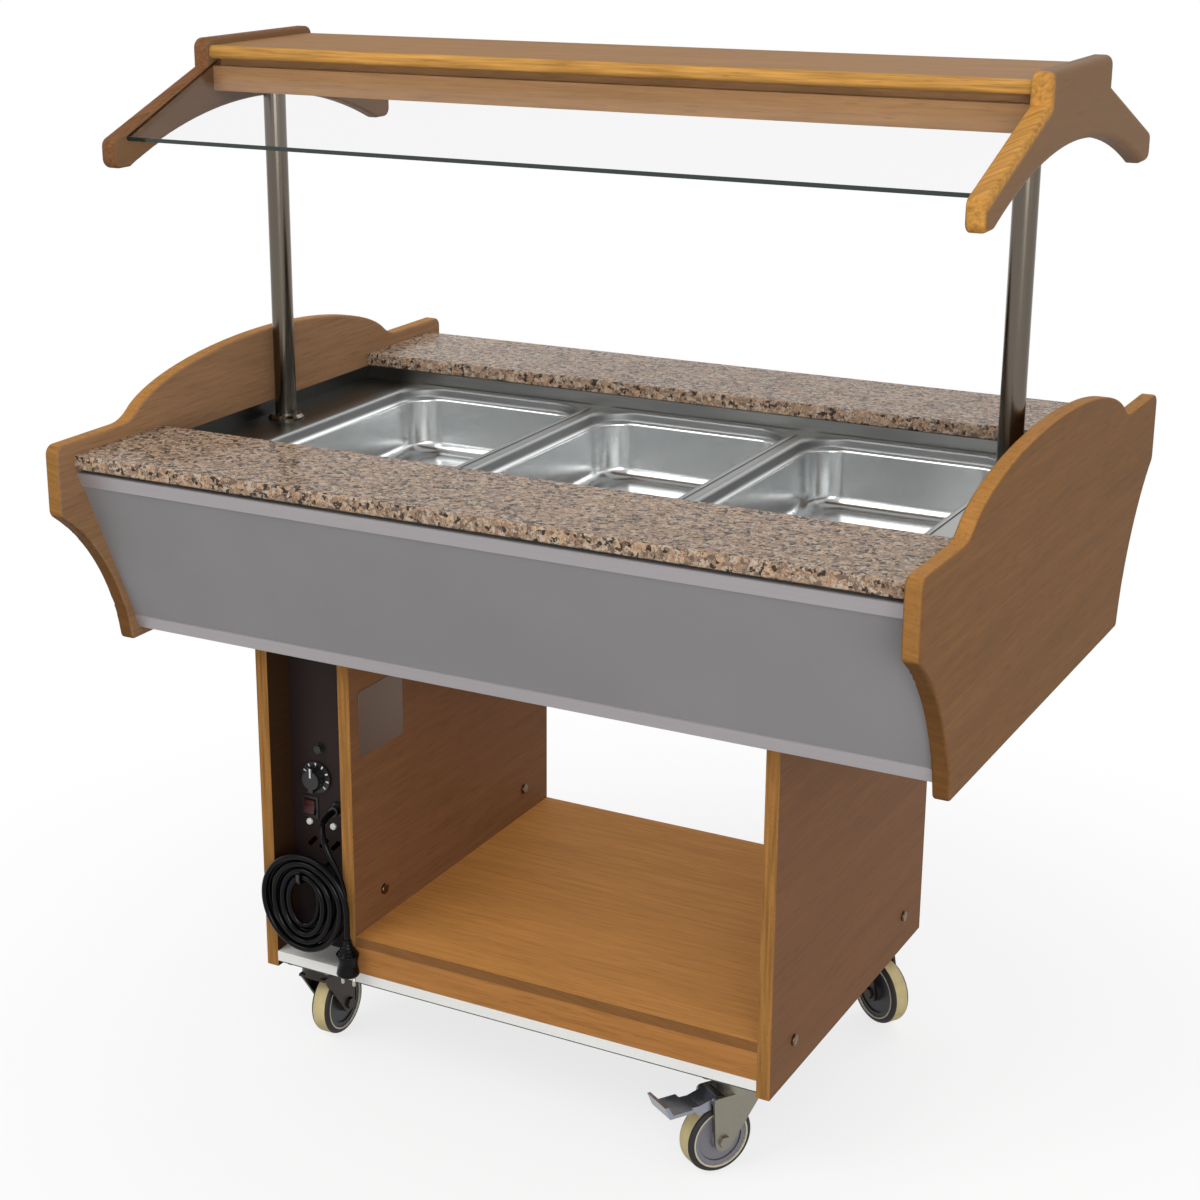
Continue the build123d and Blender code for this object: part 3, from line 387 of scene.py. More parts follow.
def oak(
    name, grain, face_colour, edge_colour, edge_mask=None, seed=0.0, depth=0.8, lines=LEVEL, contrast=2.2,
    gloss=0.2, stain=None, light_and_shade_tints=(),
):
    """Streaks along one axis: the coordinates are pressed together along the grain before the noise reads
    them. On the edges short lines run along the X axis after it is turned by three angles in degrees, and
    painted shade darkens the faces that its mask picks out. Each tint, painted light or painted shade,
    multiplies the colour of the edges where its own mask is 1."""
    finish = Finish(name, specular_ior_level=gloss, ior=SATIN_IOR)
    place = finish.place()
    stretch = [1.0, 1.0, 1.0]
    stretch[grain] = GRAIN_STRETCH
    board = finish.along(place, location=(seed, seed * 0.7, seed * 1.3), scale=stretch)
    figure = finish.noise(board, 24, detail=4.0, distortion=0.7)
    streak = finish.noise(board, 190, detail=4.0)
    pore = finish.noise(board, 520, detail=2.0)
    tone = 0.5 + ((figure - 0.5) * 0.8 + (streak - 0.5) * 1.3) * depth
    colour = finish.mix(tone, shade(face_colour, FACE_DARK), shade(face_colour, FACE_PALE))
    if stain:
        shade_amount = stain(finish, *finish.split(place))
        colour = finish.mix(shade_amount, colour, shade(face_colour, FACE_PAINTED_SHADE))
    if edge_mask:
        banding = finish.own_frame(place, turn=np.radians(lines), unit=(1 / GRAIN_STRETCH, 1, 1))
        ripple = 0.5 + (finish.noise(banding, 230, detail=2.0) - 0.5) * contrast
        lipping = finish.mix(ripple, shade(edge_colour, EDGE_DARK), shade(edge_colour, EDGE_PALE))
        for mask, tint in light_and_shade_tints:
            lipping = finish.mix(mask(finish, *finish.split(place)), lipping, tint, "MULTIPLY")
        colour = finish.mix(edge_mask(finish, *finish.split(place)), colour, lipping)
    dashes = finish.step(pore, 0.56, 0.70)
    colour = finish.mix(dashes * 0.45 * depth, colour, shade(face_colour, FACE_PORE))
    finish.set(base_color=colour, roughness=0.42 + streak * 0.2)
    finish.bump(streak - dashes * 0.6, 0.18, 0.0006)
    return finish


print("oak grain pressed to", GRAIN_STRETCH)

# %% oak edges
HAIR = 0.0002
LIP_FOOT, LIP_TOP = 0.850, 0.947
CHEEK_CORNER_Y, CHEEK_CORNER_Z, CHEEK_SLOPE = -0.132, 1.414, math.radians(20.6)


def between_faces(board, skin):
    """Edges of a pair of upright boards: what lies between the faces of the right one, told by the distance
    from the middle of the counter. The edge fades out over a skin below each face."""
    inner, outer = face(board, LOW, ALONG_X), face(board, HIGH, ALONG_X)
    middle, half = (inner + outer) / 2, (outer - inner) / 2
    return lambda finish, x, y, z: 1 - finish.step(abs(abs(x) - middle), half - skin, half - HAIR)


def beyond(board, lap, soft):
    """Front and back edges of a board: what lies within a lap of its front or back, with a soft start."""
    reach = face(board, HIGH, ALONG_Y) - lap
    return lambda finish, x, y, z: finish.step(abs(y), reach - soft, reach)


def lipped_front(finish, x, y, z):
    """Golden lipping of a cheek: its front edges from face to face, and a narrow band of the faces below
    the sloping edge, told by the height over that slope. It fades out behind the upper front corner."""
    over = (CHEEK_CORNER_Y - y) * math.sin(CHEEK_SLOPE) + (z - CHEEK_CORNER_Z) * math.cos(CHEEK_SLOPE)
    band = finish.step(over, -0.016, -0.007)
    edges = between_faces("canopy_cheek_right", 0.004)(finish, x, y, z)
    front = 1 - finish.step(y, CHEEK_CORNER_Y + 0.006, CHEEK_CORNER_Y + 0.020)
    return front * band.or_more(edges)


def painted_shade_under_lip(finish, x, y, z):
    """The hollow edge of an end panel below its lip, which faces down: its tint there is painted shade."""
    return 1 - finish.step(z, LIP_FOOT - 0.004, LIP_FOOT + 0.002)


def painted_light_over_lip(finish, x, y, z):
    """The upper edge of an end panel, from the top of its lip over the crown: its tint there is painted
    light.
    """
    return finish.step(z, LIP_TOP - 0.003, LIP_TOP)


def compartment_shade(finish, x, y, z):
    """The face of the left pedestal panel that looks into the compartment: darkened there as painted shade.
    """
    wall = face("base_panel_left", HIGH, ALONG_X)
    return finish.step(x, wall - 0.0015, wall - 0.0003)


panel_edge = between_faces("end_panel_right", 0.0028)
left_cheek_edge = between_faces("canopy_cheek_right", 0.0009)
canopy_edge = beyond("canopy_top", 0.0035, 0.004)
front_edge = beyond("base_panel_right", 0.0001, 0.0006)
# Painted light and shade on the end panel edges: a darker tint below the lip, a lighter one over the crown.
PAINTED_SHADE_TINT, PAINTED_LIGHT_TINT = (0.52, 0.49, 0.56, 1), (1.36, 1.34, 1.26, 1)
panel_light_and_shade = [(painted_shade_under_lip, PAINTED_SHADE_TINT), (painted_light_over_lip, PAINTED_LIGHT_TINT)]
print("end panel lip from", LIP_FOOT, "to", LIP_TOP)

# %% oak boards
BROWN_FACE = (127, 91, 58)
PAINTED_LIGHT_LEFT_FACE = (148, 113, 82)
CHEEK_FACE = (130, 99, 70)
PEDESTAL_FACE = (124, 86, 57)
GOLDEN_FACE = (196, 138, 75)
SHELF_EDGE_PAINTED_SHADOW = (128, 88, 52)
PLINTH_FACE = (166, 114, 63)
PAINTED_LIGHT_RAIL_FACE = (182, 140, 98)
CANOPY_FACE = (156, 114, 68)
GOLDEN_EDGE = (150, 106, 57)
CHEEK_EDGE = (186, 134, 66)
PAINTED_SHADE_CHEEK_EDGE = (124, 84, 54)
CANOPY_EDGE = (190, 140, 73)

panel_look = {"edge_mask": panel_edge, "seed": 0.3, "contrast": 1.1, "light_and_shade_tints": panel_light_and_shade}
# The left end panel's faces are lighter than the right one's: painted light for the shade it stands in.
left_oak = oak("oak_end_left", ALONG_Y, PAINTED_LIGHT_LEFT_FACE, GOLDEN_EDGE, **panel_look)
right_oak = oak("oak_end_right", ALONG_Y, BROWN_FACE, GOLDEN_EDGE, gloss=0.1, **panel_look)
dress(left_oak, "end_panel_left")
dress(right_oak, "end_panel_right")

cheek_look = {"seed": 1.7, "depth": 0.35, "lines": ALONG_CHEEK}
# The left cheek's edges are darker than the right one's golden lipping: painted shade.
left_cheek = oak("oak_cheek_left", ALONG_Y, CHEEK_FACE, PAINTED_SHADE_CHEEK_EDGE, left_cheek_edge, **cheek_look)
right_cheek = oak("oak_cheek_right", ALONG_Y, CHEEK_FACE, CHEEK_EDGE, lipped_front, **cheek_look)
canopy_oak = oak("oak_canopy", ALONG_X, CANOPY_FACE, CANOPY_EDGE, canopy_edge, seed=2.9, lines=STRAIGHT)
dress(left_cheek, "canopy_cheek_left")
dress(right_cheek, "canopy_cheek_right")
dress(canopy_oak, "canopy_top")
# The rail's oak is lighter than the other boards: painted light under the canopy's overhang.
dress(oak("oak_rail", ALONG_X, PAINTED_LIGHT_RAIL_FACE, GOLDEN_EDGE, seed=4.1), "canopy_rail")

pedestal_look = {"edge_mask": front_edge, "depth": 0.7, "lines": UPRIGHT}
pedestal_oak = oak("oak_pedestal", ALONG_Y, PEDESTAL_FACE, GOLDEN_EDGE, seed=5.3, **pedestal_look)
# The compartment side of the left pedestal panel is darkened as painted shade.
shaded_look = pedestal_look | {"stain": compartment_shade}
compartment_oak = oak("oak_compartment", ALONG_Y, PEDESTAL_FACE, GOLDEN_EDGE, seed=5.9, **shaded_look)
# The shelf's front edge is dark brown: a painted shadow of the gap above the plinth.
shelf_oak = oak("oak_shelf", ALONG_X, GOLDEN_FACE, SHELF_EDGE_PAINTED_SHADOW, front_edge, seed=6.1, contrast=0.8)
dress(pedestal_oak, "base_panel_inner", "base_panel_right")
dress(compartment_oak, "base_panel_left")
dress(shelf_oak, "storage_shelf")
dress(oak("oak_plinth", ALONG_X, PLINTH_FACE, PLINTH_FACE, seed=8.3), "plinth_boards")
dress(oak("oak_back", ALONG_Z, BROWN_FACE, GOLDEN_EDGE, seed=7.7), "compartment_rear_panel")
print("oak boards dressed")

# %% [markdown]
# ## Granite
# The shelves are polished granite: pink-beige crystals with peach, pale and black ones among them. A cell
# pattern fits better than noise, because each crystal has one colour. Two sizes of cells are laid over
# each other, and the coordinates are first shaken by noise so that no crystal has straight sides.

# %% granite finish
GRANITE = [
    (0.00, (66, 56, 50)),
    (0.13, (122, 103, 90)),
    (0.29, (154, 129, 109)),
    (0.58, (172, 141, 116)),
    (0.76, (188, 171, 152)),
    (0.90, (190, 158, 127)),
]
DARK_FLECK, PALE_FLECK = (90, 75, 64), (204, 188, 168)
STONE_SHADE = 0.92
SHAKE = (0.007, 0.007, 0.007)

granite = Finish("granite", specular_ior_level=0.25, ior=SATIN_IOR)
stone_place = granite.place()
wobble = {"Vector": stone_place, "Scale": 160, "Detail": 2.0}
shake = granite.node("ShaderNodeTexNoise", {}, wobble, out=1)
shaken = granite.node(
    "ShaderNodeVectorMath", {"operation": "MULTIPLY_ADD"}, {0: shake, 1: SHAKE, 2: stone_place}
)
crystals = granite.node("ShaderNodeTexVoronoi", {}, {"Vector": shaken, "Scale": 185}, out=1)
flecks = granite.node("ShaderNodeTexVoronoi", {}, {"Vector": shaken, "Scale": 470}, out=1)
pick = granite.node("ShaderNodeSeparateColor", {}, {0: crystals})
fleck, fleck_tone = granite.node("ShaderNodeSeparateColor", {}, {0: flecks}, out=(0, 1))
stops = [(at, shade(colour, STONE_SHADE)) for at, colour in GRANITE]
stone = granite.node("ShaderNodeValToRGB", {"stops": stops, "blend": "CONSTANT"}, {0: pick})
stone = granite.mix(granite.step(fleck, 0.84, 0.86) * 0.7, stone, linear(*DARK_FLECK))
stone = granite.mix(granite.step(fleck_tone, 0.86, 0.88) * 0.5, stone, linear(*PALE_FLECK))
stone_edge = face("granite_shelf_rear", HIGH, ALONG_Y)
sawn = granite.step(abs(granite.split(stone_place)[1]), stone_edge - 0.0025, stone_edge - 0.0005)
granite.set(base_color=stone, roughness=0.16 + fleck_tone * 0.10 + sawn * 0.25)
dress(granite, "granite_shelf_front", "granite_shelf_rear")
print("granite dressed")

# %% [markdown]
# ## Grey front, white boards and trim
# The sloped front is a plain grey laminate, matt with a fine orange-peel skin. Thin satin strips run along
# both of its long edges. The boards under the pedestal and inside the case are white melamine, with a dark
# green line along the lower edge of the base board.

# %% plain boards and strips
GREY_DARK, GREY_PALE = (132, 130, 131), (143, 141, 142)
TRIM_DARK, TRIM_PALE = (160, 155, 157), (178, 173, 174)
WHITE_DARK, WHITE_PALE, FOOT_LINE_COLOUR = (224, 223, 219), (236, 235, 231), (34, 48, 38)

grey = Finish("grey_laminate", specular_ior_level=0.35)
grey_place = grey.place()
grey_cloud = grey.noise(grey_place, 7)
grey_skin = grey.noise(grey_place, 1300, detail=2.0)
grey_face = grey.mix(grey_cloud, linear(*GREY_DARK), linear(*GREY_PALE))
grey.set(base_color=grey_face, roughness=0.48 + grey_skin * 0.14)
grey.bump(grey_skin, 0.10, 0.0003)
dress(grey, "front_panel", "rear_panel")

trim = Finish("satin_trim", specular_ior_level=0.5, metallic=0.35)
trim_line = trim.noise(trim.along(trim.place(), scale=(0.004, 1, 1)), 900)
trim_face = trim.mix(trim_line, linear(*TRIM_DARK), linear(*TRIM_PALE))
trim.set(base_color=trim_face, roughness=0.36 + trim_line * 0.16)
dress(trim, "panel_trims")

white = Finish("white_board", specular_ior_level=0.4)
white_place = white.place()
white_grain = white.noise(white_place, 320)
board_foot = face("base_floor", LOW, ALONG_Z)
foot_line = 1 - white.step(white.split(white_place)[2], board_foot + 0.0012, board_foot + 0.0018)
white_face = white.mix(white_grain, linear(*WHITE_DARK), linear(*WHITE_PALE))
white.set(base_color=white.mix(foot_line, white_face, linear(*FOOT_LINE_COLOUR)), roughness=0.42 + white_grain * 0.1)
white.bump(white_grain, 0.06, 0.0003)
dress(white, "base_floor", "counter_floor", "granite_bearers")
print("plain boards dressed")

# %% [markdown]
# ## Stainless steel
# The steels differ in their polish: brushed sheet for the well, polished tube for the posts, lightly
# polished pressings for the pans, and plain plate and bolts. Brushing is a noise drawn out along the
# strokes that changes the roughness far more than the colour, which is what makes sheet metal look like
# metal. One function makes every steel and zinc on the counter.

# %% steel finishes
DECK = face("posts", LOW, ALONG_Z)
UPSTAND = face("well", HIGH, ALONG_Y)
EVERY_WAY = (1, 1, 1)
STROKE_DARK, STROKE_PALE, SATIN_SHADE, REFLECTION_SHADE = 0.88, 1.10, 0.40, 0.34


def steel(name, tint, low, high, strokes, scale, depth=0.12, satin_above=None, dark_reflection_left_of=None):
    """Metal whose roughness runs from low to high along its brush strokes, with a faint relief of the
    strokes. Above a given height the sheet can be satin: darker and rougher than the polished part below.
    To the left of a given place it is darkened up to the well's rear upstand: a painted dark reflection."""
    finish = Finish(name, metallic=1.0)
    place = finish.place()
    brushing = finish.noise(finish.along(place, scale=strokes), scale)
    cloud = finish.noise(place, 9, detail=2.0)
    colour = finish.mix(brushing, shade(tint, STROKE_DARK), shade(tint, STROKE_PALE))
    roughness = low + brushing * (high - low) + cloud * 0.05
    if satin_above:
        satin = finish.step(finish.split(place)[2], satin_above - 0.006, satin_above)
        colour = finish.mix(satin, colour, shade(tint, SATIN_SHADE))
        roughness = roughness + satin * 0.24
    if dark_reflection_left_of:
        x, y = finish.split(place)[:2]
        painted_reflection = 1 - finish.step(x, dark_reflection_left_of - 0.02, dark_reflection_left_of + 0.02)
        in_front_of_upstand = 1 - finish.step(y, UPSTAND - 0.008, UPSTAND - 0.002)
        colour = finish.mix(painted_reflection * in_front_of_upstand, colour, shade(tint, REFLECTION_SHADE))
    finish.set(base_color=colour, roughness=roughness)
    finish.bump(brushing, depth, 0.0002)
    return finish


# The brushed sheet carries a painted dark reflection at the left end of the deck.
brushed = steel("brushed_sheet", (144, 144, 141), 0.26, 0.38, (0.02, 1, 1), 700, dark_reflection_left_of=-0.51)
# The tube's dark brownish tint is a painted reflection of dark surroundings.
tube = steel("polished_tube", (104, 96, 86), 0.10, 0.17, (1, 1, 0.01), 400, depth=0.03)
plain_plate = steel("plain_plate", (120, 120, 120), 0.28, 0.42, EVERY_WAY, 300)
pan_look = {"depth": 0.0, "satin_above": DECK - 0.012}
pressed = steel("pressed_sheet", (218, 220, 220), 0.16, 0.22, (1, 0.05, 1), 260, **pan_look)
bolt_steel = steel("bolt_steel", (104, 84, 62), 0.24, 0.36, EVERY_WAY, 500)
dress(brushed, "well", "divider_bars")
dress(tube, "posts", "post_flanges")
dress(plain_plate, "post_head_plates", "heating_element", "element_terminal_box")
dress(bolt_steel, "panel_bolts")
print("steel dressed, deck at", DECK)

# %% [markdown]
# ## Pressed pans
# A pan is drawn from one sheet, so no edge on it is sharp: the rim rolls into the neck, the neck steps in
# at the stacking shoulder, and the wall runs down into the floor. The surface is a profile carried round a
# rounded rectangle, which keeps every bend smooth where a faceted solid would break up the reflections.

# %% pan section
RIM_THICK, SHEET = 0.0016, 0.001
RIM_HALF = np.array([0.1625, 0.265])
NECK_HALF = np.array([0.1525, 0.2545])
RIM_REACH = RIM_HALF[0] - NECK_HALF[0]
SHOULDER_Z, FLOOR_Z = DECK - 0.015, DECK - 0.100
STEP, DRAFT = 0.005, math.radians(3)
FLOOR_BEND, SHOULDER_BEND, RIM_BEND = 0.020, 0.006, 0.005
UNDER_RIM, UNDER_BEND = 0.0022, 0.0032


def bend(centre, radius, start, end, count=8):
    """Points of a circular bend in the section of a sheet, between two angles in degrees."""
    angle = np.radians(np.linspace(start, end, count))
    return np.column_stack([centre[0] + radius * np.cos(angle), centre[1] + radius * np.sin(angle)])


def pan_section():
    """Section of the pressed sheet as distance out from the neck wall and height: floor bend, drafted wall,
    a shoulder of two opposite bends, neck and rolled rim, then the edge of the rim and its underside, and
    then the outside, which is the inside moved out by the thickness of the sheet."""
    lean = math.acos(1 - STEP / (2 * SHOULDER_BEND))
    shoulder_rise = SHOULDER_BEND * math.sin(lean)
    lean, draft = math.degrees(lean), math.degrees(DRAFT)
    wall_foot = -STEP - (SHOULDER_Z - FLOOR_Z) * math.tan(DRAFT)
    bend_out = wall_foot - FLOOR_BEND + FLOOR_BEND * math.sin(DRAFT)
    lower_bend = (-STEP + SHOULDER_BEND, SHOULDER_Z - shoulder_rise)
    upper_bend = (-SHOULDER_BEND, SHOULDER_Z + shoulder_rise)
    inside = np.concatenate(
        [
            bend((bend_out, FLOOR_Z + FLOOR_BEND), FLOOR_BEND, -90, -draft, count=10),
            bend(lower_bend, SHOULDER_BEND, 180 - draft, 180 - lean),
            bend(upper_bend, SHOULDER_BEND, -lean, 0)[1:],
            bend((RIM_BEND, DECK + RIM_THICK - RIM_BEND), RIM_BEND, 180, 90),
        ]
    )
    run = np.gradient(inside, axis=0)
    run /= np.linalg.norm(run, axis=1, keepdims=True)
    outside = inside + SHEET * np.column_stack([run[:, 1], -run[:, 0]])
    half_thick = RIM_THICK / 2
    edge = bend((RIM_REACH - half_thick, DECK + half_thick), half_thick, 90, -90, count=7)
    edge = np.concatenate([edge, [[UNDER_RIM, DECK]]])
    below = outside[outside[:, 1] < DECK - UNDER_BEND]
    return inside, edge, below


inside, rim_edge, below = pan_section()
print("pan section points", len(inside), len(rim_edge), len(below))

# %% pan rows
RIM_CORNER, NECK_CORNER = 0.026, 0.054
CORNER_POINTS = 14
FLOOR_SPINE = 0.12
FLOOR_SHARES = np.array([0.15, 0.5, 1.0])


def rounded_rows(half, corner, height):
    """Rows of points round rounded rectangles, one row for each half size, corner radius and height: every
    quarter turn has its own corner centre, moved in from the corner of the rectangle by the radius."""
    quarter = np.repeat(np.arange(4), CORNER_POINTS)
    angle = np.radians(90 * quarter + np.tile(np.linspace(0, 90, CORNER_POINTS), 4))
    side_x = np.array([1, -1, -1, 1])[quarter]
    side_y = np.array([1, 1, -1, -1])[quarter]
    x = side_x * (half[:, :1] - corner[:, None]) + corner[:, None] * np.cos(angle)
    y = side_y * (half[:, 1:] - corner[:, None]) + corner[:, None] * np.sin(angle)
    return np.stack([x, y, np.broadcast_to(height[:, None], x.shape)], -1)


def sheet_rows(section):
    """Rows round the pan for points of its section: out of the neck the corner tightens to that of the
    rim, and inside it the corner shrinks with the wall."""
    out, height = section[:, 0], section[:, 1]
    share = np.clip(out / RIM_REACH, 0, 1)
    half = NECK_HALF + np.minimum(out, 0)[:, None] + share[:, None] * (RIM_HALF - NECK_HALF)
    corner = np.where(out > 0, NECK_CORNER + share * (RIM_CORNER - NECK_CORNER), NECK_CORNER + out)
    return rounded_rows(half, corner, height)


def floor_rows(ring):
    """Rows that close a floor: the outermost ring drawn in towards a line along the middle."""
    spine = ring.copy()
    spine[:, 0] = 0.0
    spine[:, 1] = np.clip(ring[:, 1], -FLOOR_SPINE, FLOOR_SPINE)
    return ring + FLOOR_SHARES[:, None, None] * (spine - ring)


inner = sheet_rows(inside)
outer = sheet_rows(below[::-1])
pan_points = np.concatenate(
    [floor_rows(inner[0])[::-1], inner, sheet_rows(rim_edge), outer, floor_rows(outer[-1])]
)
print("pan points", pan_points.shape)

# %% [markdown]
# Rows of points become quads that run round each row. The doubles at seams and poles are merged before
# the faces are turned outwards, so that each piece is one closed skin.

# %% pieces from points
MERGE, SLIVER = 2e-6, 1e-7


def ring_quads(rows, columns):
    """Quads between neighbouring rows of points, each row closed on itself."""
    index = np.arange(rows * columns).reshape(rows, columns)
    index = np.column_stack([index, index[:, :1]])
    corners = [index[:-1, :-1], index[:-1, 1:], index[1:, 1:], index[1:, :-1]]
    return np.stack(corners, -1).reshape(-1, 4)


def solid(name, points, faces, body, finish, replaces=(), smooth=True):
    """Points and faces as one piece: doubles merged, faces turned outwards, finish and body given."""
    mesh = bpy.data.meshes.new(name)
    mesh.from_pydata(points.tolist(), [], faces.tolist())
    work = bmesh.new()
    work.from_mesh(mesh)
    bmesh.ops.remove_doubles(work, verts=work.verts, dist=MERGE)
    bmesh.ops.dissolve_degenerate(work, dist=SLIVER, edges=work.edges)
    bmesh.ops.recalc_face_normals(work, faces=work.faces)
    work.to_mesh(mesh)
    work.free()
    mesh.polygons.foreach_set("use_smooth", np.full(len(mesh.polygons), smooth))
    mesh.materials.append(finish.material)
    piece = bpy.data.objects.new(name, mesh)
    scene.collection.objects.link(piece)
    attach(piece, body)
    if replaces:
        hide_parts(*replaces)
    return piece


def surface(name, points, body, finish, replaces=(), smooth=True):
    """A sheet of points, rows by columns, made into a piece of quads that run round each row."""
    quads = ring_quads(*points.shape[:2])
    return solid(name, points.reshape(-1, 3), quads, body, finish, replaces, smooth)


for side in ("left", "middle", "right"):
    pan = f"pan_{side}"
    pan_x = (face(pan, LOW, ALONG_X) + face(pan, HIGH, ALONG_X)) / 2
    surface(f"pressed_{pan}", pan_points + [pan_x, 0, 0], pan, pressed, [pan])
    print(pan, "at", round(pan_x, 4))

# %% [markdown]
# ## Canopy glass
# The pane is six millimetres of float glass that looks clear through its faces and dark green through its
# cut edge, because there the light travels along the sheet. The faces are a glass shader, and a mask on
# the distance down the slope mixes in a dark, glossy edge.

# %% glass finish
GLASS_TILT = math.radians(21.9)
GLASS_TOP_Y, GLASS_TOP_Z = -0.116, 1.411
GLASS_RUN = 0.199 / math.cos(GLASS_TILT)
GLASS_CLEAR, GLASS_EDGE, GLASS_IOR = (0.95, 0.945, 0.95, 1), (30, 44, 38), 1.14

glass = Finish("clear_glass", base_color=GLASS_CLEAR, transmission_weight=1.0, ior=GLASS_IOR)
glass_y, glass_z = glass.split(glass.place())[1:]
smear = glass.noise(glass.place(), 5, detail=4.0)
glass.set(roughness=glass.step(smear, 0.55, 0.9) * 0.05)
down = (GLASS_TOP_Y - glass_y) * math.cos(GLASS_TILT) + (GLASS_TOP_Z - glass_z) * math.sin(GLASS_TILT)
cut_edge = glass.step(down, GLASS_RUN - 0.0007, GLASS_RUN - 0.0002)
edge_sockets = {"Base Color": linear(*GLASS_EDGE), "Roughness": 0.12}
glass.overlay(cut_edge, glass.node("ShaderNodeBsdfPrincipled", {}, edge_sockets))
dress(glass, "sneeze_glass")
print("glass dressed, run", round(GLASS_RUN, 4))

# %% [markdown]
# ## Controls
# A near-black plate closes the compartment, with a thermostat knob, a red rocker, two white lamp lenses, a
# cap and slanted vents. The plastics differ mostly in gloss, so one function makes them from a colour and
# a range of roughness. The marks round the dial are thin raised bars that turn with the knob.

# %% control finishes
PLASTIC_DARK, PLASTIC_PALE = 0.82, 1.18


def plastic(name, colour, low, high, grain=900, depth=0.08, gloss=0.5):
    """Moulded plastic: fine spark-eroded grain in roughness and bump, and a slow change of tone."""
    finish = Finish(name, specular_ior_level=gloss)
    place = finish.place()
    skin = finish.noise(place, grain, detail=2.0)
    cloud = finish.noise(place, 22)
    tone = finish.mix(cloud, shade(colour, PLASTIC_DARK), shade(colour, PLASTIC_PALE))
    finish.set(base_color=tone, roughness=low + skin * (high - low))
    finish.bump(skin, depth, 0.0003)
    return finish


black_plate = plastic("black_plate", (40, 29, 28), 0.46, 0.60, grain=260, depth=0.04, gloss=0.2)
black_plastic = plastic("black_plastic", (26, 26, 28), 0.30, 0.46)
white_paint = plastic("white_mark", (232, 232, 228), 0.38, 0.5)
dress(black_plate, "control_plate")
dress(black_plastic, "thermostat_knob", "limiter_cap", "cable_gland", "switch_housing", "thermostat_body")
dress(plastic("red_rocker", (58, 12, 14), 0.22, 0.34), "switch_rocker")
dress(plastic("lamp_lens", (236, 235, 230), 0.12, 0.22), "pilot_lamps")
dress(steel("hook_wire", (70, 68, 66), 0.25, 0.38, EVERY_WAY, 500), "cord_hook")
print("controls dressed")

# %% [markdown]
# Each mark is a block with a flat top and chamfered sides. One block is worked out about the origin, and
# arrays of angles turn copies of it round the dial, so all the marks are one mesh.

# %% dial marks
CHAMFER = 0.15
BLOCK = np.array([[0, 1, 2, 3], [7, 6, 5, 4], [0, 4, 5, 1], [1, 5, 6, 2], [2, 6, 7, 3], [3, 7, 4, 0]])
UPWARDS, DIAL_SWEEP, MARKS = 90.0, 270.0, 9
DIAL = np.array([-0.3665, -0.240, 0.424])
KNOB_RISE = np.array([0, 0.015, 0])


def bars(angles, inner, outer, width, height):
    """Radial blocks on a dial that faces -Y: corner points of one block, turned by each angle about it."""
    radial = np.array([inner, outer, outer, inner])
    across = np.array([-0.5, -0.5, 0.5, 0.5]) * width
    inset = np.array([1, -1, -1, 1]) * CHAMFER * width
    base = np.column_stack([radial, across])
    top = np.column_stack([radial + inset, across * (1 - 2 * CHAMFER)])
    plan = np.concatenate([base, top])
    rise = np.repeat([0.0, height], 4)
    turn_x = plan[:, 0] * np.cos(angles)[:, None] - plan[:, 1] * np.sin(angles)[:, None]
    turn_z = plan[:, 0] * np.sin(angles)[:, None] + plan[:, 1] * np.cos(angles)[:, None]
    points = np.stack([turn_x, np.broadcast_to(-rise, turn_x.shape), turn_z], -1)
    faces = (BLOCK + len(plan) * np.arange(len(angles))[:, None, None]).reshape(-1, 4)
    return points.reshape(-1, 3), faces


mark_angles = np.radians(UPWARDS + DIAL_SWEEP * np.linspace(-0.5, 0.5, MARKS))
points, faces = bars(mark_angles, inner=0.0175, outer=0.0225, width=0.0024, height=0.0004)
solid("dial_marks", points + DIAL, faces, "knob", white_paint, smooth=False)
points, faces = bars(np.radians([UPWARDS]), inner=0.004, outer=0.0185, width=0.0026, height=0.0004)
solid("dial_pointer", points + DIAL - KNOB_RISE, faces, "knob", white_paint, smooth=False)
print("dial marks", len(mark_angles))

# %% [markdown]
# ## Plug and cord finish
# The plug is a turned form: a ribbed sleeve that grows out of the cord, a waisted body for the fingers and
# two round pins. Its radius is a function of the distance down from the cord, carried round the axis.

# %% plug
SLEEVE_LENGTH, SLEEVE_START, SLEEVE_GROWTH, SLEEVE_POWER = 0.022, 0.0056, 0.0094, 1.6
RIB_HEIGHT, RIB_PITCH = 0.0006, 0.0044
GRIP_TOP, GRIP_FOOT, GRIP_RADIUS, WAIST = 0.0225, 0.0535, 0.0166, 0.0022
PLUG_LENGTH, SLEEVE_ROWS, GRIP_ROWS = 0.056, 67, 32
PIN_RADIUS, PIN_SPREAD = 0.0024, 0.0095


def turned(profile, centre, count=40):
    """A profile of radius and height carried round a vertical axis through a centre."""
    angle = np.linspace(0, 2 * np.pi, count, endpoint=False)
    x = centre[0] + profile[:, :1] * np.cos(angle)
    y = centre[1] + profile[:, :1] * np.sin(angle)
    z = np.broadcast_to(centre[2] + profile[:, 1:], x.shape)
    return np.stack([x, y, z], -1)


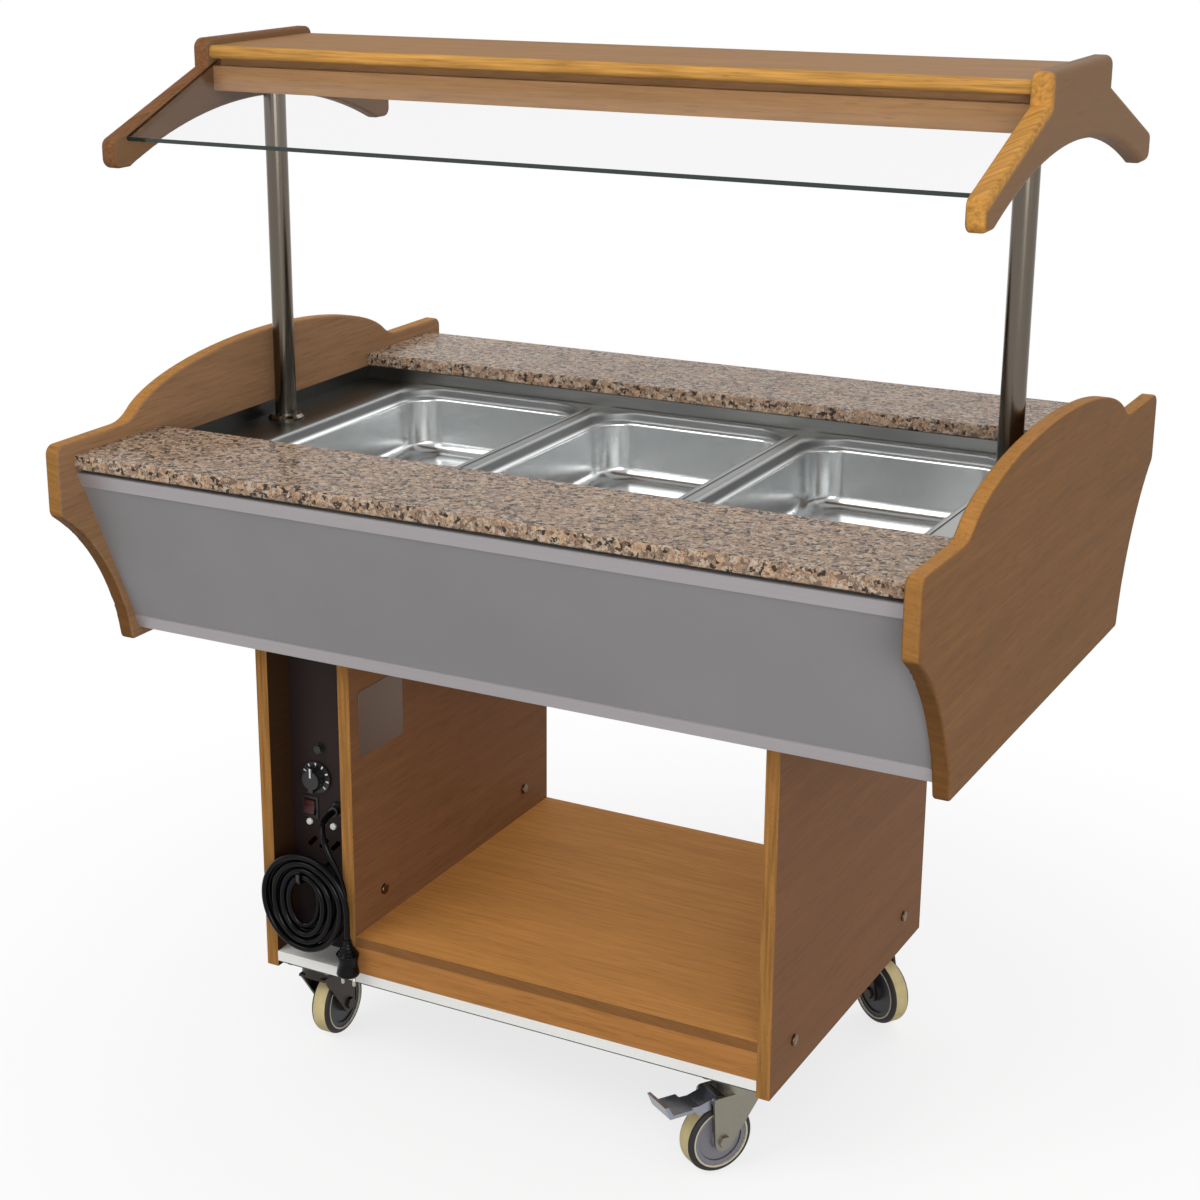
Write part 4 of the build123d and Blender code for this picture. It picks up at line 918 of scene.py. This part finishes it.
rubber = plastic("cord_rubber", (9, 9, 10), 0.14, 0.22, grain=700, depth=0.05, gloss=0.12)
cord.data.materials.append(rubber.material)
plug_top = tail_points[-1]
sleeve = np.linspace(0, SLEEVE_LENGTH, SLEEVE_ROWS)
sleeve_radius = SLEEVE_START + SLEEVE_GROWTH * (sleeve / SLEEVE_LENGTH) ** SLEEVE_POWER
sleeve_radius = sleeve_radius + RIB_HEIGHT * np.sign(np.sin(2 * np.pi * sleeve / RIB_PITCH))
grip = np.linspace(GRIP_TOP, GRIP_FOOT, GRIP_ROWS)
grip_radius = GRIP_RADIUS - WAIST * np.sin(np.pi * (grip - GRIP_TOP) / (GRIP_FOOT - GRIP_TOP)) ** 2
nose = np.array([[0.0155, 0.0008 - PLUG_LENGTH], [0.0142, -PLUG_LENGTH], [0.0, -PLUG_LENGTH]])
plug_profile = np.concatenate(
    [[[0.0, 0.0]], np.column_stack([sleeve_radius, -sleeve]), np.column_stack([grip_radius, -grip]), nose]
)
plug_points = turned(plug_profile, plug_top)
plug = surface("plug_body", plug_points, "counter", rubber, ["mains_plug"])
print("plug rows", len(plug_profile))

# %% plug pins and cord facts
pin_steel = steel("pin_steel", (176, 170, 158), 0.15, 0.25, (1, 1, 0.05), 400)
pin = np.array(
    [[0.0, 0.001], [PIN_RADIUS, 0.001], [PIN_RADIUS, -0.0145], [0.0018, -0.0158], [0.0, -0.016]]
)
for side, offset in (("a", -PIN_SPREAD), ("b", PIN_SPREAD)):
    pin_points = turned(pin, plug_top + [offset, 0, -PLUG_LENGTH], count=20)
    surface(f"plug_pin_{side}", pin_points, "counter", pin_steel)

# %% [markdown]
# ## Casters
# A wheel has a disc with a fine groove, a thin cream ring, black shoulders and a cream tread. These are
# rings about the axle, so each wheel's finish first moves its coordinates to its own axle, where the
# distance from the axle and the distance along it tell the rings apart. The front right wheel stands in
# the light and keeps a grey disc; the dark discs and dark zinc of the other casters and of the front left
# pedal are painted shade. Forks, plates and pedals are dull zinc-plated pressings.

# %% caster finishes
WHEEL_RADIUS, TRAIL = 0.050, 0.036
CASTERS = {
    "front_left": (-0.366, -0.240, 90.0),
    "front_right": (0.306, -0.240, -122.7),
    "rear_left": (-0.366, 0.240, 126.9),
    "rear_right": (0.306, 0.240, -30.0),
}
CREAM, BLACK_RUBBER = (208, 190, 140), (32, 29, 28)
DISC_GREY, DISC_PAINTED_SHADE, RING = (116, 114, 120), (40, 39, 43), (194, 186, 164)
TREAD_HALF, TYRE_LIP, DISC_RADIUS, GROOVE_RADIUS = 0.0098, 0.0421, 0.0404, 0.0325


def axle_rings(finish, x, y, heading):
    """Distance from a wheel's axle and distance along it, from coordinates moved and turned to it."""
    swing = math.radians(heading)
    centre = (x + TRAIL * math.cos(swing), y + TRAIL * math.sin(swing), WHEEL_RADIUS)
    fore, axial, rise = finish.split(finish.own_frame(finish.place(), centre, (0, 0, swing)))
    return (fore * fore + rise * rise) ** 0.5, abs(axial)


def tyre_finish(name, spot):
    """Scuffed cream near the middle plane of the wheel, black rubber beyond it, and a cream ring at the
    inner lip."""
    finish = Finish(name, specular_ior_level=0.35)
    radius, axial = axle_rings(finish, *spot)
    skin = finish.noise(finish.place(), 420)
    scuff = finish.noise(finish.place(), 60, detail=4.0)
    tread = 1 - finish.step(axial, TREAD_HALF, TREAD_HALF + 0.0006)
    cream = finish.mix(scuff, shade(CREAM, 0.66), shade(CREAM, 1.10))
    black = finish.mix(skin, shade(BLACK_RUBBER, 0.7), shade(BLACK_RUBBER, 1.4))
    lip = 1 - finish.step(radius, TYRE_LIP, TYRE_LIP + 0.0004)
    colour = finish.mix(lip, finish.mix(tread, black, cream), linear(*RING))
    finish.set(base_color=colour, roughness=0.52 + skin * 0.2)
    finish.bump(skin, 0.12, 0.0004)
    return finish


def hub_finish(name, spot, tone):
    """A plain disc with a dark groove at one distance from the axle, and a cream ring beyond its rim."""
    finish = Finish(name, specular_ior_level=0.45)
    radius = axle_rings(finish, *spot)[0]
    skin = finish.noise(finish.place(), 520, detail=2.0)
    ring = finish.step(radius, DISC_RADIUS, DISC_RADIUS + 0.0004)
    groove = finish.step(abs(radius - GROOVE_RADIUS), 0.0003, 0.0009)
    disc = finish.mix(skin, shade(tone, 0.88), shade(tone, 1.12))
    disc = finish.mix(groove, shade(tone, 0.45), disc)
    finish.set(base_color=finish.mix(ring, disc, linear(*RING)), roughness=0.38 + skin * 0.16)
    finish.bump(groove + skin * 0.15, 0.25, 0.0006)
    return finish


zinc = steel("zinc_steel", (146, 149, 158), 0.24, 0.36, EVERY_WAY, 190)
fork_zinc = steel("fork_zinc", (138, 134, 122), 0.32, 0.46, EVERY_WAY, 190)
# Dark zinc and dark discs are painted shade for the casters that stand out of the light.
painted_shade_zinc = steel("painted_shade_zinc", (62, 57, 54), 0.32, 0.46, EVERY_WAY, 190)
for corner, spot in CASTERS.items():
    in_light = corner == "front_right"
    disc_tone = DISC_GREY if in_light else DISC_PAINTED_SHADE
    dress(tyre_finish(f"tyre_{corner}", spot), f"tyre_{corner}")
    dress(hub_finish(f"hub_{corner}", spot, disc_tone), f"wheel_hub_{corner}")
    dress(fork_zinc if in_light else painted_shade_zinc, f"caster_fork_{corner}")
dress(zinc, "caster_plates", "brake_pedal_front_right")
dress(painted_shade_zinc, "brake_pedal_front_left")
print("casters dressed", len(CASTERS))

# %% [markdown]
# ## Small fixings and the bare plate
# Hexagon heads hold the caster plates, dome-headed screws hold the control plate, and a thin plate is
# stuck on the inner panel with nothing on it. These are low turned or extruded forms, repeated from arrays
# of places.

# %% fixings
BOLT_SPREAD, CASTER_PLATE = 0.032, 0.004
HEX_RADIUS, HEX_TOP, HEX_SIDE, HEX_HEIGHT = 0.0065, 0.0058, 0.0034, 0.004
DOME_RADIUS, DOME_HEIGHT = 0.0045, 0.0022
SCREWS_X, SCREWS_Z = (-0.400, -0.303), (0.176, 0.632)


def heads(places, axis, profile, sides):
    """Copies of a low turned head: a profile of radius and height carried round an axis at each place."""
    angle = 2 * np.pi * np.arange(sides) / sides
    one = np.array([1.0, 0.0, 0.0])
    other = np.cross(axis, one)
    ring = np.cos(angle)[:, None] * one + np.sin(angle)[:, None] * other
    head = profile[:, :1, None] * ring + profile[:, 1:, None] * np.array(axis)
    points = places[:, None, None] + head
    starts = len(profile) * sides * np.arange(len(places))
    faces = (ring_quads(len(profile), sides) + starts[:, None, None]).reshape(-1, 4)
    return points.reshape(-1, 3), faces


plate_foot = board_foot - CASTER_PLATE
spread = [(a, b) for a in (-BOLT_SPREAD, BOLT_SPREAD) for b in (-BOLT_SPREAD, BOLT_SPREAD)]
spots = [spot[:2] for spot in CASTERS.values()]
bolt_places = np.array([(x + a, y + b, plate_foot) for x, y in spots for a, b in spread])
hex_profile = np.array(
    [[0.0, 0.0], [HEX_RADIUS, 0.0], [HEX_RADIUS, HEX_SIDE], [HEX_TOP, HEX_HEIGHT], [0.0, HEX_HEIGHT]]
)
points, faces = heads(bolt_places, (0, 0, -1), hex_profile, sides=6)
solid("caster_bolts", points, faces, "counter", zinc, smooth=False)

dome_angle = np.radians(np.linspace(0, 90, 7))
dome = np.column_stack([DOME_RADIUS * np.cos(dome_angle), DOME_HEIGHT * np.sin(dome_angle)])
dome = np.concatenate([[[0.0, 0.0]], dome])
plate_face = face("control_plate", LOW, ALONG_Y)
screw_places = np.array([(x, plate_face, z) for x in SCREWS_X for z in SCREWS_Z])
points, faces = heads(screw_places, (0, -1, 0), dome, sides=20)
solid("plate_screws", points, faces, "counter", bolt_steel)
print("fixings", len(bolt_places), len(screw_places))

# %% bare plate
PLATE_HALF, PLATE_CORNER, PLATE_BEVEL = np.array([0.058, 0.050]), 0.004, 0.0002
PLATE_LEVELS = np.array([0.0, 0.0004, 0.0006])
PLATE_MIDDLE = np.array([face("base_panel_inner", HIGH, ALONG_X), -0.208, 0.530])

plate_halves = PLATE_HALF - PLATE_BEVEL * np.array([[0], [0], [1]])
rim_rows = rounded_rows(plate_halves, np.full(3, PLATE_CORNER), PLATE_LEVELS)
to_middle = np.array([0, 0, 1])
plate_rows = np.concatenate([rim_rows[:1] * to_middle, rim_rows, rim_rows[-1:] * to_middle])
plate_points = PLATE_MIDDLE + plate_rows[..., [2, 0, 1]]
bare = steel("bare_plate", (112, 94, 82), 0.40, 0.54, (1, 0.05, 1), 600)
surface("bare_plate", plate_points, "counter", bare, smooth=False)
print("bare plate", 2 * PLATE_HALF)

# %% [markdown]
# ## Studio
# The picture is a plain catalogue view on white. A wide soft light above the front left gives the tops
# their glow, weaker ones at the right side and in front open the shadows, one high behind draws the rear
# edges, and the world fills the rest. The floor is pale and keeps the shadow of the counter.

# %% lights
scene.view_settings.view_transform = "Standard"


def soft_light(name, place, target, size, power):
    """A rectangle of light at a place, turned so that it faces a target and its long side lies level."""
    lamp = bpy.data.lights.new(name, "AREA")
    lamp.shape = "RECTANGLE"
    lamp.size, lamp.size_y = size
    lamp.energy = power
    direction = np.array(target) - np.array(place)
    back = -direction / np.linalg.norm(direction)
    side = np.cross([0, 0, 1.0], back)
    side /= np.linalg.norm(side)
    stand(bpy.data.objects.new(name, lamp), (side, np.cross(back, side), back), place)


soft_light("key", (-3.2, -5.2, 6.0), (0, 0, 0.8), (5.2, 4.0), 230)
soft_light("side", (6.4, -3.0, 2.3), (0, 0, 0.9), (4.0, 3.2), 70)
soft_light("front", (3.0, -4.6, 1.7), (0, 0, 1.0), (2.6, 2.0), 110)
soft_light("back", (0.8, 5.6, 5.6), (0, 0, 0.9), (6.0, 3.2), 120)
print("lights", len(bpy.data.lights))

# %% sky
SKY_FILL, SKY_DIMMING = 0.58, 0.57
WHITE = (1, 1, 1, 1)


class Sky(Finish):
    """The world as a finish: a background shader in place of the principled one."""

    def __init__(self, studio):
        self.tree = studio.node_tree
        self.shader = self.tree.nodes["Background"]


def seen_directly(finish):
    """1 where a ray comes straight from the camera, or by way of metal or glass."""
    rays = ("Is Camera Ray", "Is Glossy Ray", "Is Transmission Ray")
    straight, glossy, through = finish.node("ShaderNodeLightPath", out=rays)
    return straight.or_more(glossy.or_more(through))


world = bpy.data.worlds.new("studio")
scene.world = world
world.use_nodes = True
sky = Sky(world)
rise = sky.split(sky.node("ShaderNodeTexCoord", out="Generated"))[2]
overhead = sky.step(rise, 0.20, 0.85)
sky.set(color=WHITE, strength=SKY_FILL + seen_directly(sky) * (1 - SKY_FILL - overhead * SKY_DIMMING))
print("sky fill", SKY_FILL)

# %% floor
FLOOR_REACH = 40.0
FLOOR_BOUNCE, FLOOR_SEEN = (0.28, 0.28, 0.28, 1), (0.90, 0.90, 0.90, 1)
NEAR_WHITE, FAR_START, FAR_END = 0.74, 0.6, 1.6

floor_mesh = bpy.data.meshes.new("studio_floor")
corners = FLOOR_REACH * np.array([[-1, -1, 0], [1, -1, 0], [1, 1, 0], [-1, 1, 0]])
floor_mesh.from_pydata(corners.tolist(), [], [(0, 1, 2, 3)])
floor = bpy.data.objects.new("studio_floor", floor_mesh)
scene.collection.objects.link(floor)
pale = Finish("pale_floor", roughness=0.9)
pale.set(base_color=pale.mix(seen_directly(pale), FLOOR_BOUNCE, FLOOR_SEEN))
floor_x, floor_y = pale.split(pale.place())[:2]
far = pale.step((floor_x * floor_x + floor_y * floor_y) ** 0.5, FAR_START, FAR_END)
glow = pale.node("ShaderNodeEmission", {}, {"Color": WHITE, "Strength": 1.0})
pale.overlay(seen_directly(pale) * (NEAR_WHITE + far * (1 - NEAR_WHITE)), glow)
floor.data.materials.append(pale.material)
print("floor side", 2 * FLOOR_REACH)

# %% [markdown]
# The dressed counter has to stay in the box of its solids.
